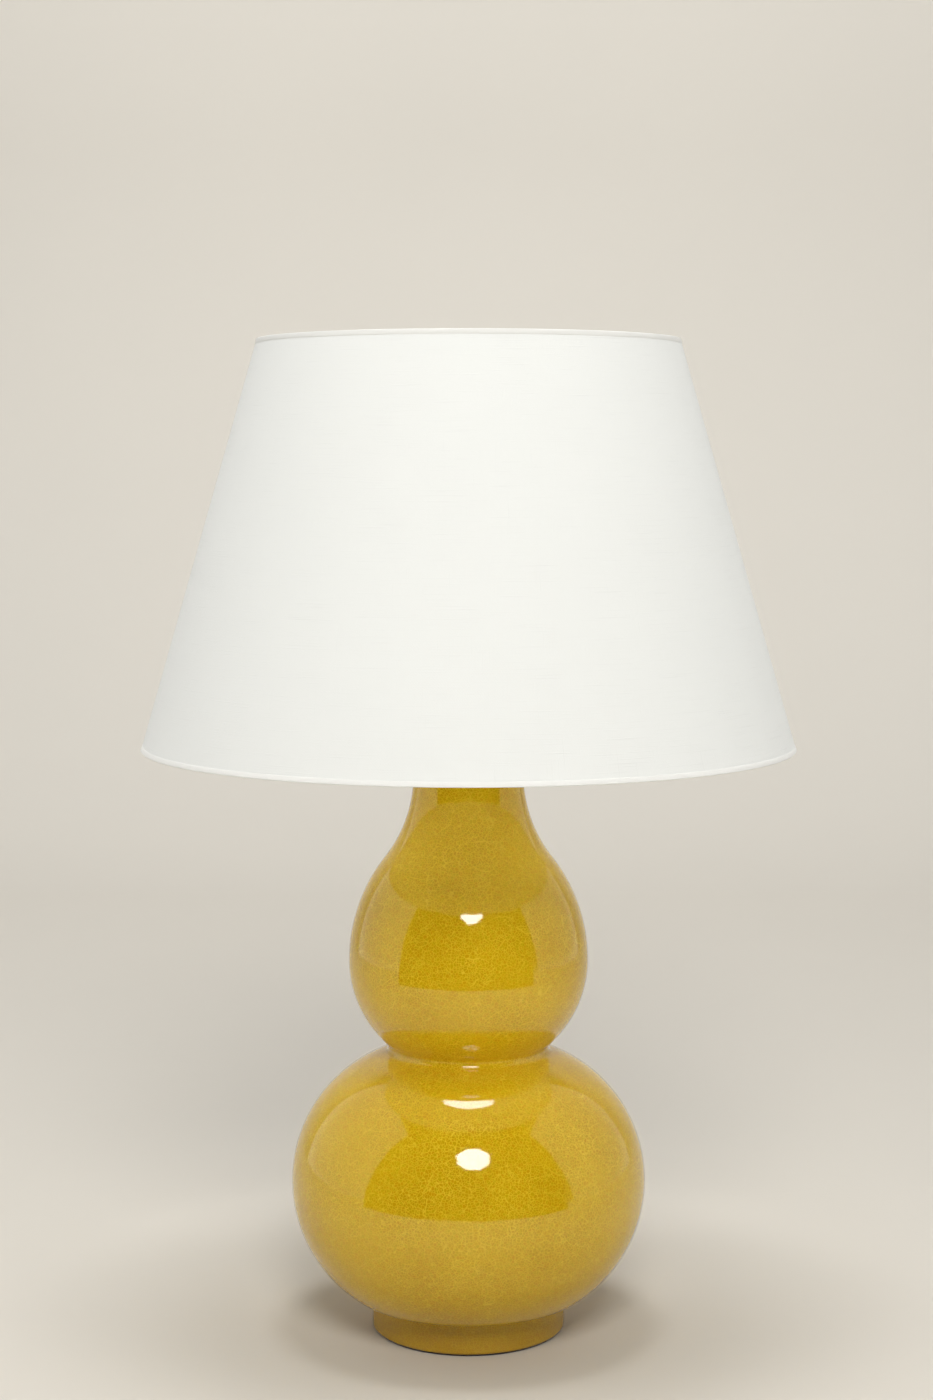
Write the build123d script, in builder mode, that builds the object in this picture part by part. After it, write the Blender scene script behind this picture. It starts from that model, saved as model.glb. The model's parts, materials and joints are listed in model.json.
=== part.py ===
from build123d import *
from math import atan, cos, hypot, sin, sqrt
import os

# Double gourd table lamp. Millimetres, +Z up, origin at the centre of the base, -Y is the front.
# A slip-cast stoneware body stands on a felt disc. A hollow rod clamps a brass cap, a riser and a
# screw-cap lampholder to it. A wire carrier on the lampholder holds a duplex ring, and the shade
# hangs on that ring by two pivot screws.

# Ceramic body: each bulb is drawn by its widest radius, the rise to it and its rounds
felt = 1.4                  # thickness of the felt disc
felt_inset = 2.3            # felt edge inside the foot's edge
wall = 6.0                  # thickness of the cast wall
foot_radius = 67.8
foot_height = 24.5          # underside of the lower bulb
foot_wall = 7.0
foot_edge = 2.2             # rounding of the edge that the lamp stands on
foot_root = 3.0             # hollow round between the foot and the lower bulb
turn_round = 25.0           # turn from the lower bulb's side to its underside
belly_radius = 124.0        # lower bulb
belly_rise = 81.5           # from the underside to the widest radius
belly_round = 96.0
waist_radius = 51.6
waist_round = 4.0           # hollow round in the crease between the bulbs
bulb_radius = 83.5          # upper bulb
bulb_rise = 156.0           # from the lower bulb's widest radius to the upper one's
bulb_high_round = 116.0
neck_radius = 38.3
neck_round = 95.0           # hollow sweep of the neck
neck_rise = 150.0           # from the upper bulb's widest radius to the lip
lip_round = 1.5

# Rod and base fittings
rod_radius = 5.0            # hollow rod, 10 mm thread
rod_bore = 3.6
rod_hole = 6.5              # hole for the rod in the ceramic floor
rod_play = 0.08             # rings and nuts on the rod
rod_below_nut = 2.5
gasket_radius = 16.0
gasket_thickness = 2.0
washer_radius = 15.0
washer_thickness = 1.5
nut_across = 15.0           # across the flats
nut_height = 5.5
nut_chamfer = 0.8

# Cord inlet in the back of the foot
inlet_height = 12.5
inlet_bore = 4.0
inlet_body = 6.0
inlet_flange = 8.5
inlet_flange_thickness = 2.0
inlet_play = 0.05

# Neck cap, riser and lock nut
seal_thickness = 1.0
cap_sheet = 1.2
cap_inset = 1.3             # cap edge inside the lip's edge
cap_rise = 11.0
cap_seat = 10.0             # flat top of the cap
cap_round = 4.0             # turn from the cone to the flat top
cap_spigot = 8.0            # depth of the spigot inside the neck
cap_spigot_gap = 0.6
riser_radius = 8.0
riser_length = 20.0
riser_bead = 1.4            # how far the riser's end collars stand out
lock_across = 14.0
lock_height = 4.0

# Lampholder for a 27 mm screw cap
holder_radius = 19.0
holder_sheet = 1.0
holder_entry = 8.0          # radius of the threaded entry
holder_entry_length = 5.0
holder_cap_height = 31.0    # domed bottom and the straight wall above it
holder_body_length = 33.0
holder_mouth = 15.2         # radius of the opening that the bulb goes in by
seat_flange = 22.0          # flange that the shade carrier sits on
seat_flange_height = 3.0
seat_flange_thickness = 1.5
block_play = 0.1
block_height = 15.8
block_core = 4.0            # hole for the wires
shell_radius = 13.33        # inside of the screw shell
shell_sheet = 0.5
shell_length = 28.0
shell_floor_hole = 8.0
sleeve_gap = 0.6
sleeve_wall = 1.8
tongue_width = 6.0
tongue_thickness = 0.6
tongue_rise = 3.0
screw_offset = 11.0         # terminal screws from the axis
screw_radius = 2.0
screw_recess = 1.6          # screws end below the top of the block

# Push bar of the switch
bar_radius = 2.5
bar_play = 0.08
bar_height = 6.9            # above the bottom of the straight wall
bar_stroke = 5.0
bar_reach = 6.0             # out of the holder on the pressed side
bar_edge = 0.6

# Bulb
lamp_gap = 0.3              # bulb contact above the tongue
contact_radius = 4.8
contact_height = 1.4
insulator_height = 4.5
screw_cap_play = 0.08
screw_cap_sheet = 0.4
screw_cap_length = 20.5
glass_play = 0.05
glass_radius = 30.0
glass_height = 98.0         # from the top of the insulator to the crown
glass_wall = 0.9
glass_neck_round = 45.0
glass_depth = 4.0           # glass neck inside the screw cap
stem_radius = 3.5
stem_flare = 10.0           # height of the stem's flared foot
stem_height = 34.0
lead_radius = 0.4
lead_spread = 9.0
lead_height = 16.0
filament_radius = 0.25

# Shade carrier
carrier_gap = 0.2           # between the carrier's base ring and what clamps it
carrier_sheet = 1.2
carrier_play = 0.09
carrier_width = 33.0
wire = 1.5                  # radius of the carrier's and the frame's wire
carrier_top_radius = 47.0
carrier_rise = 151.3        # from the base ring to the top ring
carrier_bend = 10.0
legs = 3
ring_radius = 24.0          # threaded shade ring
ring_height = 5.0
ring_gap = 2.0              # legs outside the shade ring
ring_flutes = 24
flute_radius = 1.0

# Duplex ring on the carrier and its pivots
duplex_gap = 0.3
duplex_sheet = 1.2
duplex_skirt = 11.0
duplex_lip = 43.5
duplex_side_gap = 0.9
pivot_drop = 4.0            # pivot axis below the carrier's top ring
pivot_radius = 1.5
pivot_play = 0.07
pivot_head = 3.0
pivot_head_length = 2.0
pivot_gap = 0.3
spacer_radius = 3.0
spacer_length = 3.6

# Shade
shade_above = 50.5          # rim above the carrier's top ring
shade_height = 278.9
shade_bottom_radius = 225.0
shade_top_radius = 144.1
linen = 0.8
liner = 0.8
edging = 0.5                # edging tape
edging_width = 3.5
frame_gap = 0.1             # between the wire rings and the liner
frame_inset = 5.0           # wire rings inside the rims
hoop_sheet = 1.2
hoop_height = 8.0
arms = 3
arm_bend = 6.0
arm_rise = 14.0             # straight foot of each arm on the hoop

os.makedirs("parts", exist_ok=True)


def save(piece, name):
    """Label a finished piece and write it."""
    piece.part.label = name
    export_step(piece.part, f"parts/{name}.step")


def centre_at(first, first_reach, second, second_reach):
    """The point at two given distances from two centres, on the side away from the axis."""
    across = hypot(second[0] - first[0], second[1] - first[1])
    along = (first_reach**2 - second_reach**2 + across**2) / (2 * across)
    aside = sqrt(first_reach**2 - along**2)
    run = ((second[0] - first[0]) / across, (second[1] - first[1]) / across)
    return (first[0] + run[0] * along + run[1] * aside, first[1] + run[1] * along - run[0] * aside)


def toward(start, end, distance):
    """The point at a distance from start on the way to end."""
    length = hypot(end[0] - start[0], end[1] - start[1])
    return tuple(s + (e - s) * distance / length for s, e in zip(start, end))


def round_line(centre, start, end):
    """A circular arc of under half a turn about a centre."""
    radius = hypot(start[0] - centre[0], start[1] - centre[1])
    chord_middle = ((start[0] + end[0]) / 2, (start[1] + end[1]) / 2)
    return ThreePointArc(start, toward(centre, chord_middle, radius), end)


def washer(base, height, inner, outer):
    """A flat ring that stands on a height."""
    with BuildPart() as ring:
        with BuildSketch(Plane.XY.offset(base)):
            Circle(outer)
            Circle(inner, mode=Mode.SUBTRACT)
        extrude(amount=height)
    return ring


def hex_nut(base, height, across, bore):
    """A hexagon nut with chamfered corners."""
    with BuildPart() as nut:
        with BuildSketch(Plane.XY.offset(base)):
            RegularPolygon(across / 2, 6, major_radius=False)
        extrude(amount=height)
        with BuildSketch(Plane.XY.offset(base)):
            Circle(across / sqrt(3))
        extrude(amount=height, mode=Mode.INTERSECT)
        rims = nut.edges().filter_by(GeomType.LINE).filter_by(Axis.Z, reverse=True)
        chamfer(rims, min(nut_chamfer, height / 4))
        with BuildSketch(Plane.XY.offset(base)):
            Circle(bore)
        extrude(amount=height, mode=Mode.SUBTRACT)
    return nut


def hoop(radius, height, tube):
    """A ring of round wire about the lamp's axis."""
    with BuildPart() as ring:
        with Locations((0, 0, height)):
            Torus(radius, tube)
    return ring


# ---- Ceramic body ----
belly_height = foot_height + belly_rise
bulb_height = belly_height + bulb_rise
neck_top = bulb_height + neck_rise
belly_centre = (belly_radius - belly_round, belly_height)
waist_run = bulb_radius - waist_radius
waist_height = belly_height + sqrt(belly_round**2 - (waist_radius - belly_centre[0])**2)
waist_drop = bulb_height - waist_height
bulb_low_round = (waist_run**2 + waist_drop**2) / (2 * waist_run)
low_centre = (bulb_radius - bulb_low_round, bulb_height)
high_centre = (bulb_radius - bulb_high_round, bulb_height)
neck_centre_radius = neck_radius + neck_round
neck_sweep = sqrt((bulb_high_round + neck_round)**2 - (neck_centre_radius - high_centre[0])**2)
neck_centre = (neck_centre_radius, bulb_height + neck_sweep)
waist_centre = centre_at(belly_centre, belly_round + waist_round,
                         low_centre, bulb_low_round + waist_round)
turn_height = foot_height + turn_round
turn_reach = sqrt((belly_round - turn_round)**2 - (belly_height - turn_height)**2)
turn_centre = (belly_centre[0] + turn_reach, turn_height)
root_reach = foot_radius + foot_root - turn_centre[0]
root_centre = (foot_radius + foot_root,
               turn_height - sqrt((turn_round + foot_root)**2 - root_reach**2))
foot_inner = foot_radius - foot_wall
floor_top = foot_height + wall


def neck_at(height, inset):
    """Radius of the neck's sweep at a height, with the wall's face set in by inset."""
    return neck_centre[0] - sqrt((neck_round + inset)**2 - (height - neck_centre[1])**2)


def gourd_side(start, inset):
    """The two bulbs and the neck in one line of tangent arcs, from the underside to the lip."""
    turn_end = toward(belly_centre, turn_centre, belly_round - inset)
    waist_start = toward(belly_centre, waist_centre, belly_round - inset)
    waist_end = toward(low_centre, waist_centre, bulb_low_round - inset)
    widest = (bulb_radius - inset, bulb_height)
    sweep_start = toward(high_centre, neck_centre, bulb_high_round - inset)
    lip = (neck_at(neck_top, inset), neck_top)
    round_line(turn_centre, start, turn_end)
    round_line(belly_centre, turn_end, waist_start)
    round_line(waist_centre, waist_start, waist_end)
    round_line(low_centre, waist_end, widest)
    round_line(high_centre, widest, sweep_start)
    round_line(neck_centre, sweep_start, lip)


root_end = toward(turn_centre, root_centre, turn_round)
inner_start = (turn_centre[0], floor_top)

with BuildPart() as gourd_body:
    with BuildSketch(Plane.XZ) as half_section:
        with BuildLine():
            Line((foot_radius, felt), (foot_radius, root_centre[1]))
            round_line(root_centre, (foot_radius, root_centre[1]), root_end)
            gourd_side(root_end, 0)
            Line((neck_at(neck_top, 0), neck_top), (neck_at(neck_top, wall), neck_top))
            gourd_side(inner_start, wall)
            Polyline(inner_start, (rod_hole, floor_top), (rod_hole, foot_height),
                     (foot_inner, foot_height), (foot_inner, felt), (foot_radius, felt))
        make_face()
        fillet(half_section.vertices().group_by(Axis.Y)[-1], lip_round)
        fillet(half_section.vertices().group_by(Axis.Y)[0], foot_edge)
    revolve(axis=Axis.Z)
    with BuildSketch(Plane.XZ.offset(-foot_inner / 2)):
        with Locations((0, inlet_height)):
            Circle(inlet_body + inlet_play)
    extrude(amount=-foot_radius, mode=Mode.SUBTRACT)
save(gourd_body, "gourd_body")

with BuildPart() as base_felt:
    Cylinder(foot_radius - felt_inset, felt, align=(Align.CENTER, Align.CENTER, Align.MIN))
save(base_felt, "base_felt")

# The bush's inner flange lies on the ring's curved inner wall at the flange's two sides
bush_inner_face = sqrt(foot_inner**2 - inlet_flange**2)
with BuildPart() as cord_inlet_bush:
    with BuildSketch(Plane.XZ.offset(-(bush_inner_face - inlet_flange_thickness))):
        with Locations((0, inlet_height)):
            Circle(inlet_flange)
    extrude(amount=-inlet_flange_thickness)
    with BuildSketch(Plane.XZ.offset(-bush_inner_face)):
        with Locations((0, inlet_height)):
            Circle(inlet_body)
    extrude(amount=-(foot_radius - bush_inner_face))
    with BuildSketch(Plane.XZ.offset(-foot_radius)):
        with Locations((0, inlet_height)):
            Circle(inlet_flange)
    extrude(amount=-inlet_flange_thickness)
    chamfer(cord_inlet_bush.edges().filter_by(GeomType.CIRCLE).group_by(Axis.Y)[-1],
            inlet_flange_thickness / 3)
    with BuildSketch(Plane.XZ.offset(-foot_inner / 2)):
        with Locations((0, inlet_height)):
            Circle(inlet_bore)
    extrude(amount=-foot_radius, mode=Mode.SUBTRACT)
save(cord_inlet_bush, "cord_inlet_bush")

# ---- Rod and the fittings under the ceramic floor ----
ring_bore = rod_radius + rod_play
gasket_base = foot_height - gasket_thickness
washer_base = gasket_base - washer_thickness
nut_base = washer_base - nut_height
save(washer(gasket_base, gasket_thickness, ring_bore, gasket_radius), "floor_gasket")
save(washer(washer_base, washer_thickness, ring_bore, washer_radius), "floor_washer")
save(hex_nut(nut_base, nut_height, nut_across, ring_bore), "floor_nut")

# ---- Neck cap, riser and lock nut ----
cap_base = neck_top + seal_thickness
cap_radius = neck_at(neck_top, 0) - cap_inset
cap_top = cap_base + cap_rise
spigot_radius = neck_at(neck_top - cap_spigot, wall) - cap_spigot_gap
lock_base = cap_top + riser_length
entry_base = lock_base + lock_height
save(washer(neck_top, seal_thickness, spigot_radius + cap_spigot_gap / 2, cap_radius), "neck_gasket")

# The cap is a flange, a cone up to the flat top, and a spigot down inside the neck
spigot_inner = spigot_radius - cap_sheet
cap_slope = (cap_rise - cap_sheet) / (spigot_radius - cap_seat)
with BuildPart() as neck_cap:
    with BuildSketch(Plane.XZ) as cap_section:
        Polygon((cap_radius, cap_base), (cap_radius, cap_base + cap_sheet),
                (spigot_radius, cap_base + cap_sheet), (cap_seat, cap_top), (ring_bore, cap_top),
                (ring_bore, cap_top - cap_sheet), (cap_seat, cap_top - cap_sheet),
                (spigot_inner, cap_base + cap_sheet * cap_slope),
                (spigot_inner, neck_top - cap_spigot), (spigot_radius, neck_top - cap_spigot),
                (spigot_radius, cap_base), align=None)
        fillet(cap_section.vertices().group_by(Axis.Y)[-1].sort_by(Axis.X)[-1], cap_round)
    revolve(axis=Axis.Z)
save(neck_cap, "neck_cap")

with BuildPart() as riser:
    with BuildSketch(Plane.XZ):
        Polygon((ring_bore, cap_top), (riser_radius, cap_top),
                (riser_radius + riser_bead, cap_top + riser_bead),
                (riser_radius, cap_top + 2 * riser_bead), (riser_radius, lock_base - 2 * riser_bead),
                (riser_radius + riser_bead, lock_base - riser_bead), (riser_radius, lock_base),
                (ring_bore, lock_base), align=None)
    revolve(axis=Axis.Z)
save(riser, "riser")
save(hex_nut(lock_base, lock_height, lock_across, ring_bore), "lock_nut")

# ---- Lampholder ----
dome_height = sqrt(holder_radius**2 - holder_entry**2)
wall_base = entry_base + holder_entry_length + dome_height
body_base = entry_base + holder_entry_length + holder_cap_height
body_top = body_base + holder_body_length
holder_inner = holder_radius - holder_sheet
bar_axis = wall_base + bar_height
block_base = wall_base
block_top = block_base + block_height
rod_base = nut_base - rod_below_nut
rod_top = entry_base + holder_entry_length

save(washer(rod_base, rod_top - rod_base, rod_bore, rod_radius), "tie_rod")


# The domed bottom is part of a ball as wide as the straight wall
dome_centre = (0, wall_base)
entry_inner = holder_entry - holder_sheet
dome_inner = sqrt(holder_inner**2 - entry_inner**2)
with BuildPart() as holder_cap:
    with BuildSketch(Plane.XZ):
        with BuildLine():
            Polyline((ring_bore, rod_top), (ring_bore, entry_base), (holder_entry, entry_base),
                     (holder_entry, rod_top))
            round_line(dome_centre, (holder_entry, rod_top), (holder_radius, wall_base))
            Polyline((holder_radius, wall_base), (holder_radius, body_base),
                     (holder_inner, body_base), (holder_inner, wall_base))
            round_line(dome_centre, (holder_inner, wall_base), (entry_inner, wall_base - dome_inner))
            Polyline((entry_inner, wall_base - dome_inner), (entry_inner, rod_top),
                     (ring_bore, rod_top))
        make_face()
    revolve(axis=Axis.Z)
    with BuildSketch(Plane.YZ.offset(-holder_radius * 2)):
        with Locations((0, bar_axis)):
            Circle(bar_radius + bar_play)
    extrude(amount=holder_radius * 4, mode=Mode.SUBTRACT)
save(holder_cap, "holder_cap")

screw_spots = PolarLocations(screw_offset, 2, start_angle=90)
with BuildPart() as terminal_block:
    with BuildSketch(Plane.XY.offset(block_base)):
        Circle(holder_inner - block_play)
        Circle(block_core, mode=Mode.SUBTRACT)
        with screw_spots:
            Circle(screw_radius, mode=Mode.SUBTRACT)
    extrude(amount=block_height)
    with BuildSketch(Plane.YZ.offset(-holder_radius)):
        with Locations((0, bar_axis)):
            Circle(bar_radius + bar_play)
    extrude(amount=holder_radius * 2, mode=Mode.SUBTRACT)
save(terminal_block, "terminal_block")

with BuildPart() as terminal_screws:
    with BuildSketch(Plane.XY.offset(block_base)):
        with screw_spots:
            Circle(screw_radius)
    extrude(amount=block_height - screw_recess)
save(terminal_screws, "terminal_screws")

bar_far = holder_radius + bar_reach + bar_stroke
with BuildPart() as switch_bar:
    with BuildSketch(Plane.YZ.offset(-bar_far)):
        with Locations((0, bar_axis)):
            Circle(bar_radius)
    extrude(amount=bar_far + holder_radius + bar_reach)
    chamfer(switch_bar.edges().filter_by(GeomType.CIRCLE), bar_edge)
save(switch_bar, "switch_bar")

# A spring tongue stands on the block under the bulb's contact
with BuildPart() as centre_contact:
    with BuildSketch(Plane.XZ.offset(-tongue_width / 2)):
        with BuildLine():
            heel = (-tongue_width, block_top)
            toe = (tongue_width * 2 / 3, block_top + tongue_rise - tongue_thickness)
            Polyline(heel, (tongue_width / 2, block_top), toe)
            Polyline((heel[0], heel[1] + tongue_thickness),
                     (-tongue_width / 2, block_top + tongue_thickness),
                     (-tongue_width / 3, block_top + tongue_rise),
                     (toe[0], toe[1] + tongue_thickness))
            Line(heel, (heel[0], heel[1] + tongue_thickness))
            Line(toe, (toe[0], toe[1] + tongue_thickness))
        make_face()
    extrude(amount=tongue_width)
save(centre_contact, "centre_contact")

with BuildPart() as screw_shell:
    with BuildSketch(Plane.XZ):
        Polygon((shell_floor_hole, block_top), (shell_radius + shell_sheet, block_top),
                (shell_radius + shell_sheet, block_top + shell_length),
                (shell_radius, block_top + shell_length), (shell_radius, block_top + shell_sheet),
                (shell_floor_hole, block_top + shell_sheet), align=None)
    revolve(axis=Axis.Z)
save(screw_shell, "screw_shell")

sleeve_inner = shell_radius + shell_sheet + sleeve_gap
save(washer(block_top, body_top - block_top - holder_sheet, sleeve_inner, sleeve_inner + sleeve_wall),
     "insulating_sleeve")

flange_base = body_base + seat_flange_height
flange_top = flange_base + seat_flange_thickness
with BuildPart() as holder_body:
    with BuildSketch(Plane.XZ):
        Polygon((holder_inner, body_base), (holder_radius, body_base), (holder_radius, flange_base),
                (seat_flange, flange_base), (seat_flange, flange_top), (holder_radius, flange_top),
                (holder_radius, body_top), (holder_mouth, body_top),
                (holder_mouth, body_top - holder_sheet), (holder_inner, body_top - holder_sheet),
                align=None)
    revolve(axis=Axis.Z)
save(holder_body, "holder_body")

# ---- Shade carrier ----
carrier_base = flange_top + carrier_gap
ring_base = carrier_base + carrier_sheet + carrier_gap
save(washer(carrier_base, carrier_sheet, holder_radius + carrier_play, carrier_width),
     "carrier_base_ring")

with BuildPart() as shade_ring:
    with BuildSketch(Plane.XY.offset(ring_base)):
        Circle(ring_radius)
        with PolarLocations(ring_radius, ring_flutes):
            Circle(flute_radius, mode=Mode.SUBTRACT)
        Circle(holder_radius + rod_play, mode=Mode.SUBTRACT)
    extrude(amount=ring_height)
save(shade_ring, "shade_ring")

leg_height = carrier_base + carrier_sheet + wire
carrier_top = carrier_base + carrier_rise
carrier_top_ring = hoop(carrier_top_radius, carrier_top, wire)
save(carrier_top_ring, "carrier_top_ring")

with BuildPart() as carrier_legs:
    with BuildLine(Plane.XZ):
        FilletPolyline((ring_radius + ring_gap, leg_height), (carrier_top_radius, leg_height),
                       (carrier_top_radius, carrier_top), radius=carrier_bend)
    with BuildSketch(Plane.YZ.offset(ring_radius + ring_gap)):
        with Locations((0, leg_height)):
            Circle(wire)
    sweep()
    add(carrier_top_ring.part, mode=Mode.SUBTRACT)
carrier_leg = carrier_legs.part.solids().sort_by(Axis.Z)[0]
with BuildPart() as carrier_legs:
    with PolarLocations(0, legs, start_angle=90):
        add(carrier_leg)
save(carrier_legs, "carrier_legs")

# ---- Duplex ring and pivots ----
lip_base = carrier_top + wire + duplex_gap
skirt_inner = carrier_top_radius + wire + duplex_side_gap
skirt_outer = skirt_inner + duplex_sheet
skirt_base = lip_base + duplex_sheet - duplex_skirt
pivot_height = carrier_top - pivot_drop
hoop_inner = skirt_outer + spacer_length + pivot_gap
hoop_outer = hoop_inner + hoop_sheet

with BuildPart() as duplex_ring:
    with BuildSketch(Plane.XZ):
        Polygon((duplex_lip, lip_base), (skirt_inner, lip_base), (skirt_inner, skirt_base),
                (skirt_outer, skirt_base), (skirt_outer, lip_base + duplex_sheet),
                (duplex_lip, lip_base + duplex_sheet), align=None)
    revolve(axis=Axis.Z)
    with BuildSketch(Plane.YZ.offset(-hoop_outer)):
        with Locations((0, pivot_height)):
            Circle(pivot_radius)
    extrude(amount=hoop_outer * 2, mode=Mode.SUBTRACT)
save(duplex_ring, "duplex_ring")

head_base = hoop_outer + pivot_gap
with BuildPart() as pivot_screw:
    with BuildSketch(Plane.YZ.offset(skirt_inner)):
        with Locations((0, pivot_height)):
            Circle(pivot_radius)
    extrude(amount=head_base - skirt_inner)
    with BuildSketch(Plane.YZ.offset(head_base)):
        with Locations((0, pivot_height)):
            Circle(pivot_head)
    extrude(amount=pivot_head_length)
    chamfer(pivot_screw.edges().filter_by(GeomType.CIRCLE).group_by(Axis.X)[-1], pivot_head_length / 4)
with BuildPart() as pivot_screws:
    with PolarLocations(0, 2):
        add(pivot_screw.part)
save(pivot_screws, "pivot_screws")

with BuildPart() as pivot_spacer:
    with BuildSketch(Plane.YZ.offset(skirt_outer)):
        with Locations((0, pivot_height)):
            Circle(spacer_radius)
            Circle(pivot_radius + pivot_play, mode=Mode.SUBTRACT)
    extrude(amount=spacer_length)
with BuildPart() as pivot_spacers:
    with PolarLocations(0, 2):
        add(pivot_spacer.part)
save(pivot_spacers, "pivot_spacers")

# ---- Shade frame ----
hoop_base = pivot_height - hoop_height / 2
with BuildPart() as gimbal_hoop:
    add(washer(hoop_base, hoop_height, hoop_inner, hoop_outer).part)
    with BuildSketch(Plane.YZ.offset(-hoop_outer)):
        with Locations((0, pivot_height)):
            Circle(pivot_radius + pivot_play)
    extrude(amount=hoop_outer * 2, mode=Mode.SUBTRACT)
save(gimbal_hoop, "gimbal_hoop")

shade_top = carrier_top + shade_above
shade_bottom = shade_top - shade_height
slope = (shade_bottom_radius - shade_top_radius) / (shade_top - shade_bottom)
lean = atan(slope)


def shade_at(height, depth):
    """Radius of the shade's cone at a height, at a depth inside its outer face."""
    return shade_bottom_radius - slope * (height - shade_bottom) - depth / cos(lean)


def cone_shell(outer_depth, thickness, base, top):
    """A conical shell between two depths inside the shade's outer face."""
    with BuildPart() as shell:
        with BuildSketch(Plane.XZ):
            Polygon((shade_at(base, outer_depth), base), (shade_at(top, outer_depth), top),
                    (shade_at(top, outer_depth + thickness), top),
                    (shade_at(base, outer_depth + thickness), base), align=None)
        revolve(axis=Axis.Z)
    return shell


skin_base = shade_bottom + edging
skin_top = shade_top - edging
save(cone_shell(0, linen, skin_base, skin_top), "shade_linen")
save(cone_shell(linen, liner, skin_base, skin_top), "shade_liner")

ring_depth = linen + liner + frame_gap + wire
top_ring_height = shade_top - frame_inset
bottom_ring_height = shade_bottom + frame_inset
top_ring_radius = shade_at(top_ring_height, ring_depth)
shade_top_ring = hoop(top_ring_radius, top_ring_height, wire)
save(shade_top_ring, "shade_top_ring")
save(hoop(shade_at(bottom_ring_height, ring_depth), bottom_ring_height, wire), "shade_bottom_ring")


def edge_tape(rim, inward):
    """A folded tape over a rim: outside, over the edge and down the liner's inner face."""
    stop = rim + inward * edging_width
    seat = rim + inward * edging
    cover = linen + liner
    with BuildPart() as tape:
        with BuildSketch(Plane.XZ):
            Polygon((shade_at(rim, -edging), rim), (shade_at(stop, -edging), stop),
                    (shade_at(stop, 0), stop), (shade_at(seat, 0), seat),
                    (shade_at(seat, cover), seat), (shade_at(rim, cover), rim), align=None)
        revolve(axis=Axis.Z)
    return tape


save(edge_tape(shade_top, -1), "top_edging")
save(edge_tape(shade_bottom, 1), "bottom_edging")

arm_foot = hoop_outer + wire
with BuildPart() as shade_arm:
    with BuildLine(Plane.XZ):
        FilletPolyline((arm_foot, hoop_base), (arm_foot, hoop_base + arm_rise),
                       (top_ring_radius, top_ring_height), radius=arm_bend)
    with BuildSketch(Plane.XY.offset(hoop_base)):
        with Locations((arm_foot, 0)):
            Circle(wire)
    sweep()
    add(shade_top_ring.part, mode=Mode.SUBTRACT)
arm_solid = shade_arm.part.solids().sort_by(SortBy.VOLUME)[-1]
with BuildPart() as shade_arms:
    with PolarLocations(0, arms, start_angle=90):
        add(arm_solid)
save(shade_arms, "shade_arms")

# ---- Bulb ----
contact_base = block_top + tongue_rise + lamp_gap
insulator_base = contact_base + contact_height
cap_shell_base = insulator_base + insulator_height
cap_shell_radius = shell_radius - screw_cap_play
glass_neck = cap_shell_radius - screw_cap_sheet - glass_play
cap_shell_top = cap_shell_base + screw_cap_length
glass_base = cap_shell_top - glass_depth
crown = cap_shell_base + glass_height
globe_centre = (0, crown - glass_radius)

with BuildPart() as bulb_contact:
    with BuildSketch(Plane.XY.offset(contact_base)):
        Circle(contact_radius)
    extrude(amount=contact_height)
    chamfer(bulb_contact.edges().group_by(Axis.Z)[0], contact_height / 2)
save(bulb_contact, "bulb_contact")

with BuildPart() as bulb_insulator:
    with BuildSketch(Plane.XZ):
        Polygon((0, insulator_base), (contact_radius + screw_cap_sheet, insulator_base),
                (glass_neck, cap_shell_base), (0, cap_shell_base), align=None)
    revolve(axis=Axis.Z)
save(bulb_insulator, "bulb_insulator")
save(washer(cap_shell_base, screw_cap_length, cap_shell_radius - screw_cap_sheet, cap_shell_radius),
     "bulb_screw_cap")

# The envelope: a globe, a hollow sweep and a short straight neck
sweep_radius = glass_neck + glass_neck_round
sweep_drop = sqrt((glass_radius + glass_neck_round)**2 - sweep_radius**2)
sweep_centre = (sweep_radius, globe_centre[1] - sweep_drop)


def envelope_line(inset):
    """Half outline of the glass, with the face set in by inset."""
    crown_point = (0, crown - inset)
    meet = toward(globe_centre, sweep_centre, glass_radius - inset)
    neck_point = (glass_neck - inset, sweep_centre[1])
    side = (glass_radius - inset, globe_centre[1])
    round_line(globe_centre, crown_point, side)
    round_line(globe_centre, side, meet)
    round_line(sweep_centre, meet, neck_point)
    Line(neck_point, (glass_neck - inset, glass_base))


with BuildPart() as bulb_glass:
    with BuildSketch(Plane.XZ):
        with BuildLine():
            envelope_line(0)
            Line((glass_neck, glass_base), (glass_neck - glass_wall, glass_base))
            envelope_line(glass_wall)
            Line((0, crown - glass_wall), (0, crown))
        make_face()
    revolve(axis=Axis.Z)
save(bulb_glass, "bulb_glass")

stem_base = glass_base
stem_top = stem_base + stem_height
stem_foot = glass_neck - glass_wall - glass_play
with BuildPart() as bulb_stem:
    with BuildSketch(Plane.XZ):
        Polygon((0, stem_top), (0, stem_base), (stem_foot, stem_base),
                (stem_radius, stem_base + stem_flare), (stem_radius, stem_top), align=None)
    revolve(axis=Axis.Z)
save(bulb_stem, "bulb_stem")

filament_height = stem_top + lead_height
filament_foot = filament_height + filament_radius
with BuildPart() as lead_wire:
    with BuildLine(Plane.XZ):
        Line((stem_radius / 2, stem_top), (lead_spread, filament_height))
    with BuildSketch(Plane.XY.offset(stem_top)):
        with Locations((stem_radius / 2, 0)):
            Circle(lead_radius)
    sweep()
with BuildPart() as lead_wires:
    with PolarLocations(0, 2):
        add(lead_wire.part)
save(lead_wires, "lead_wires")

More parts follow.
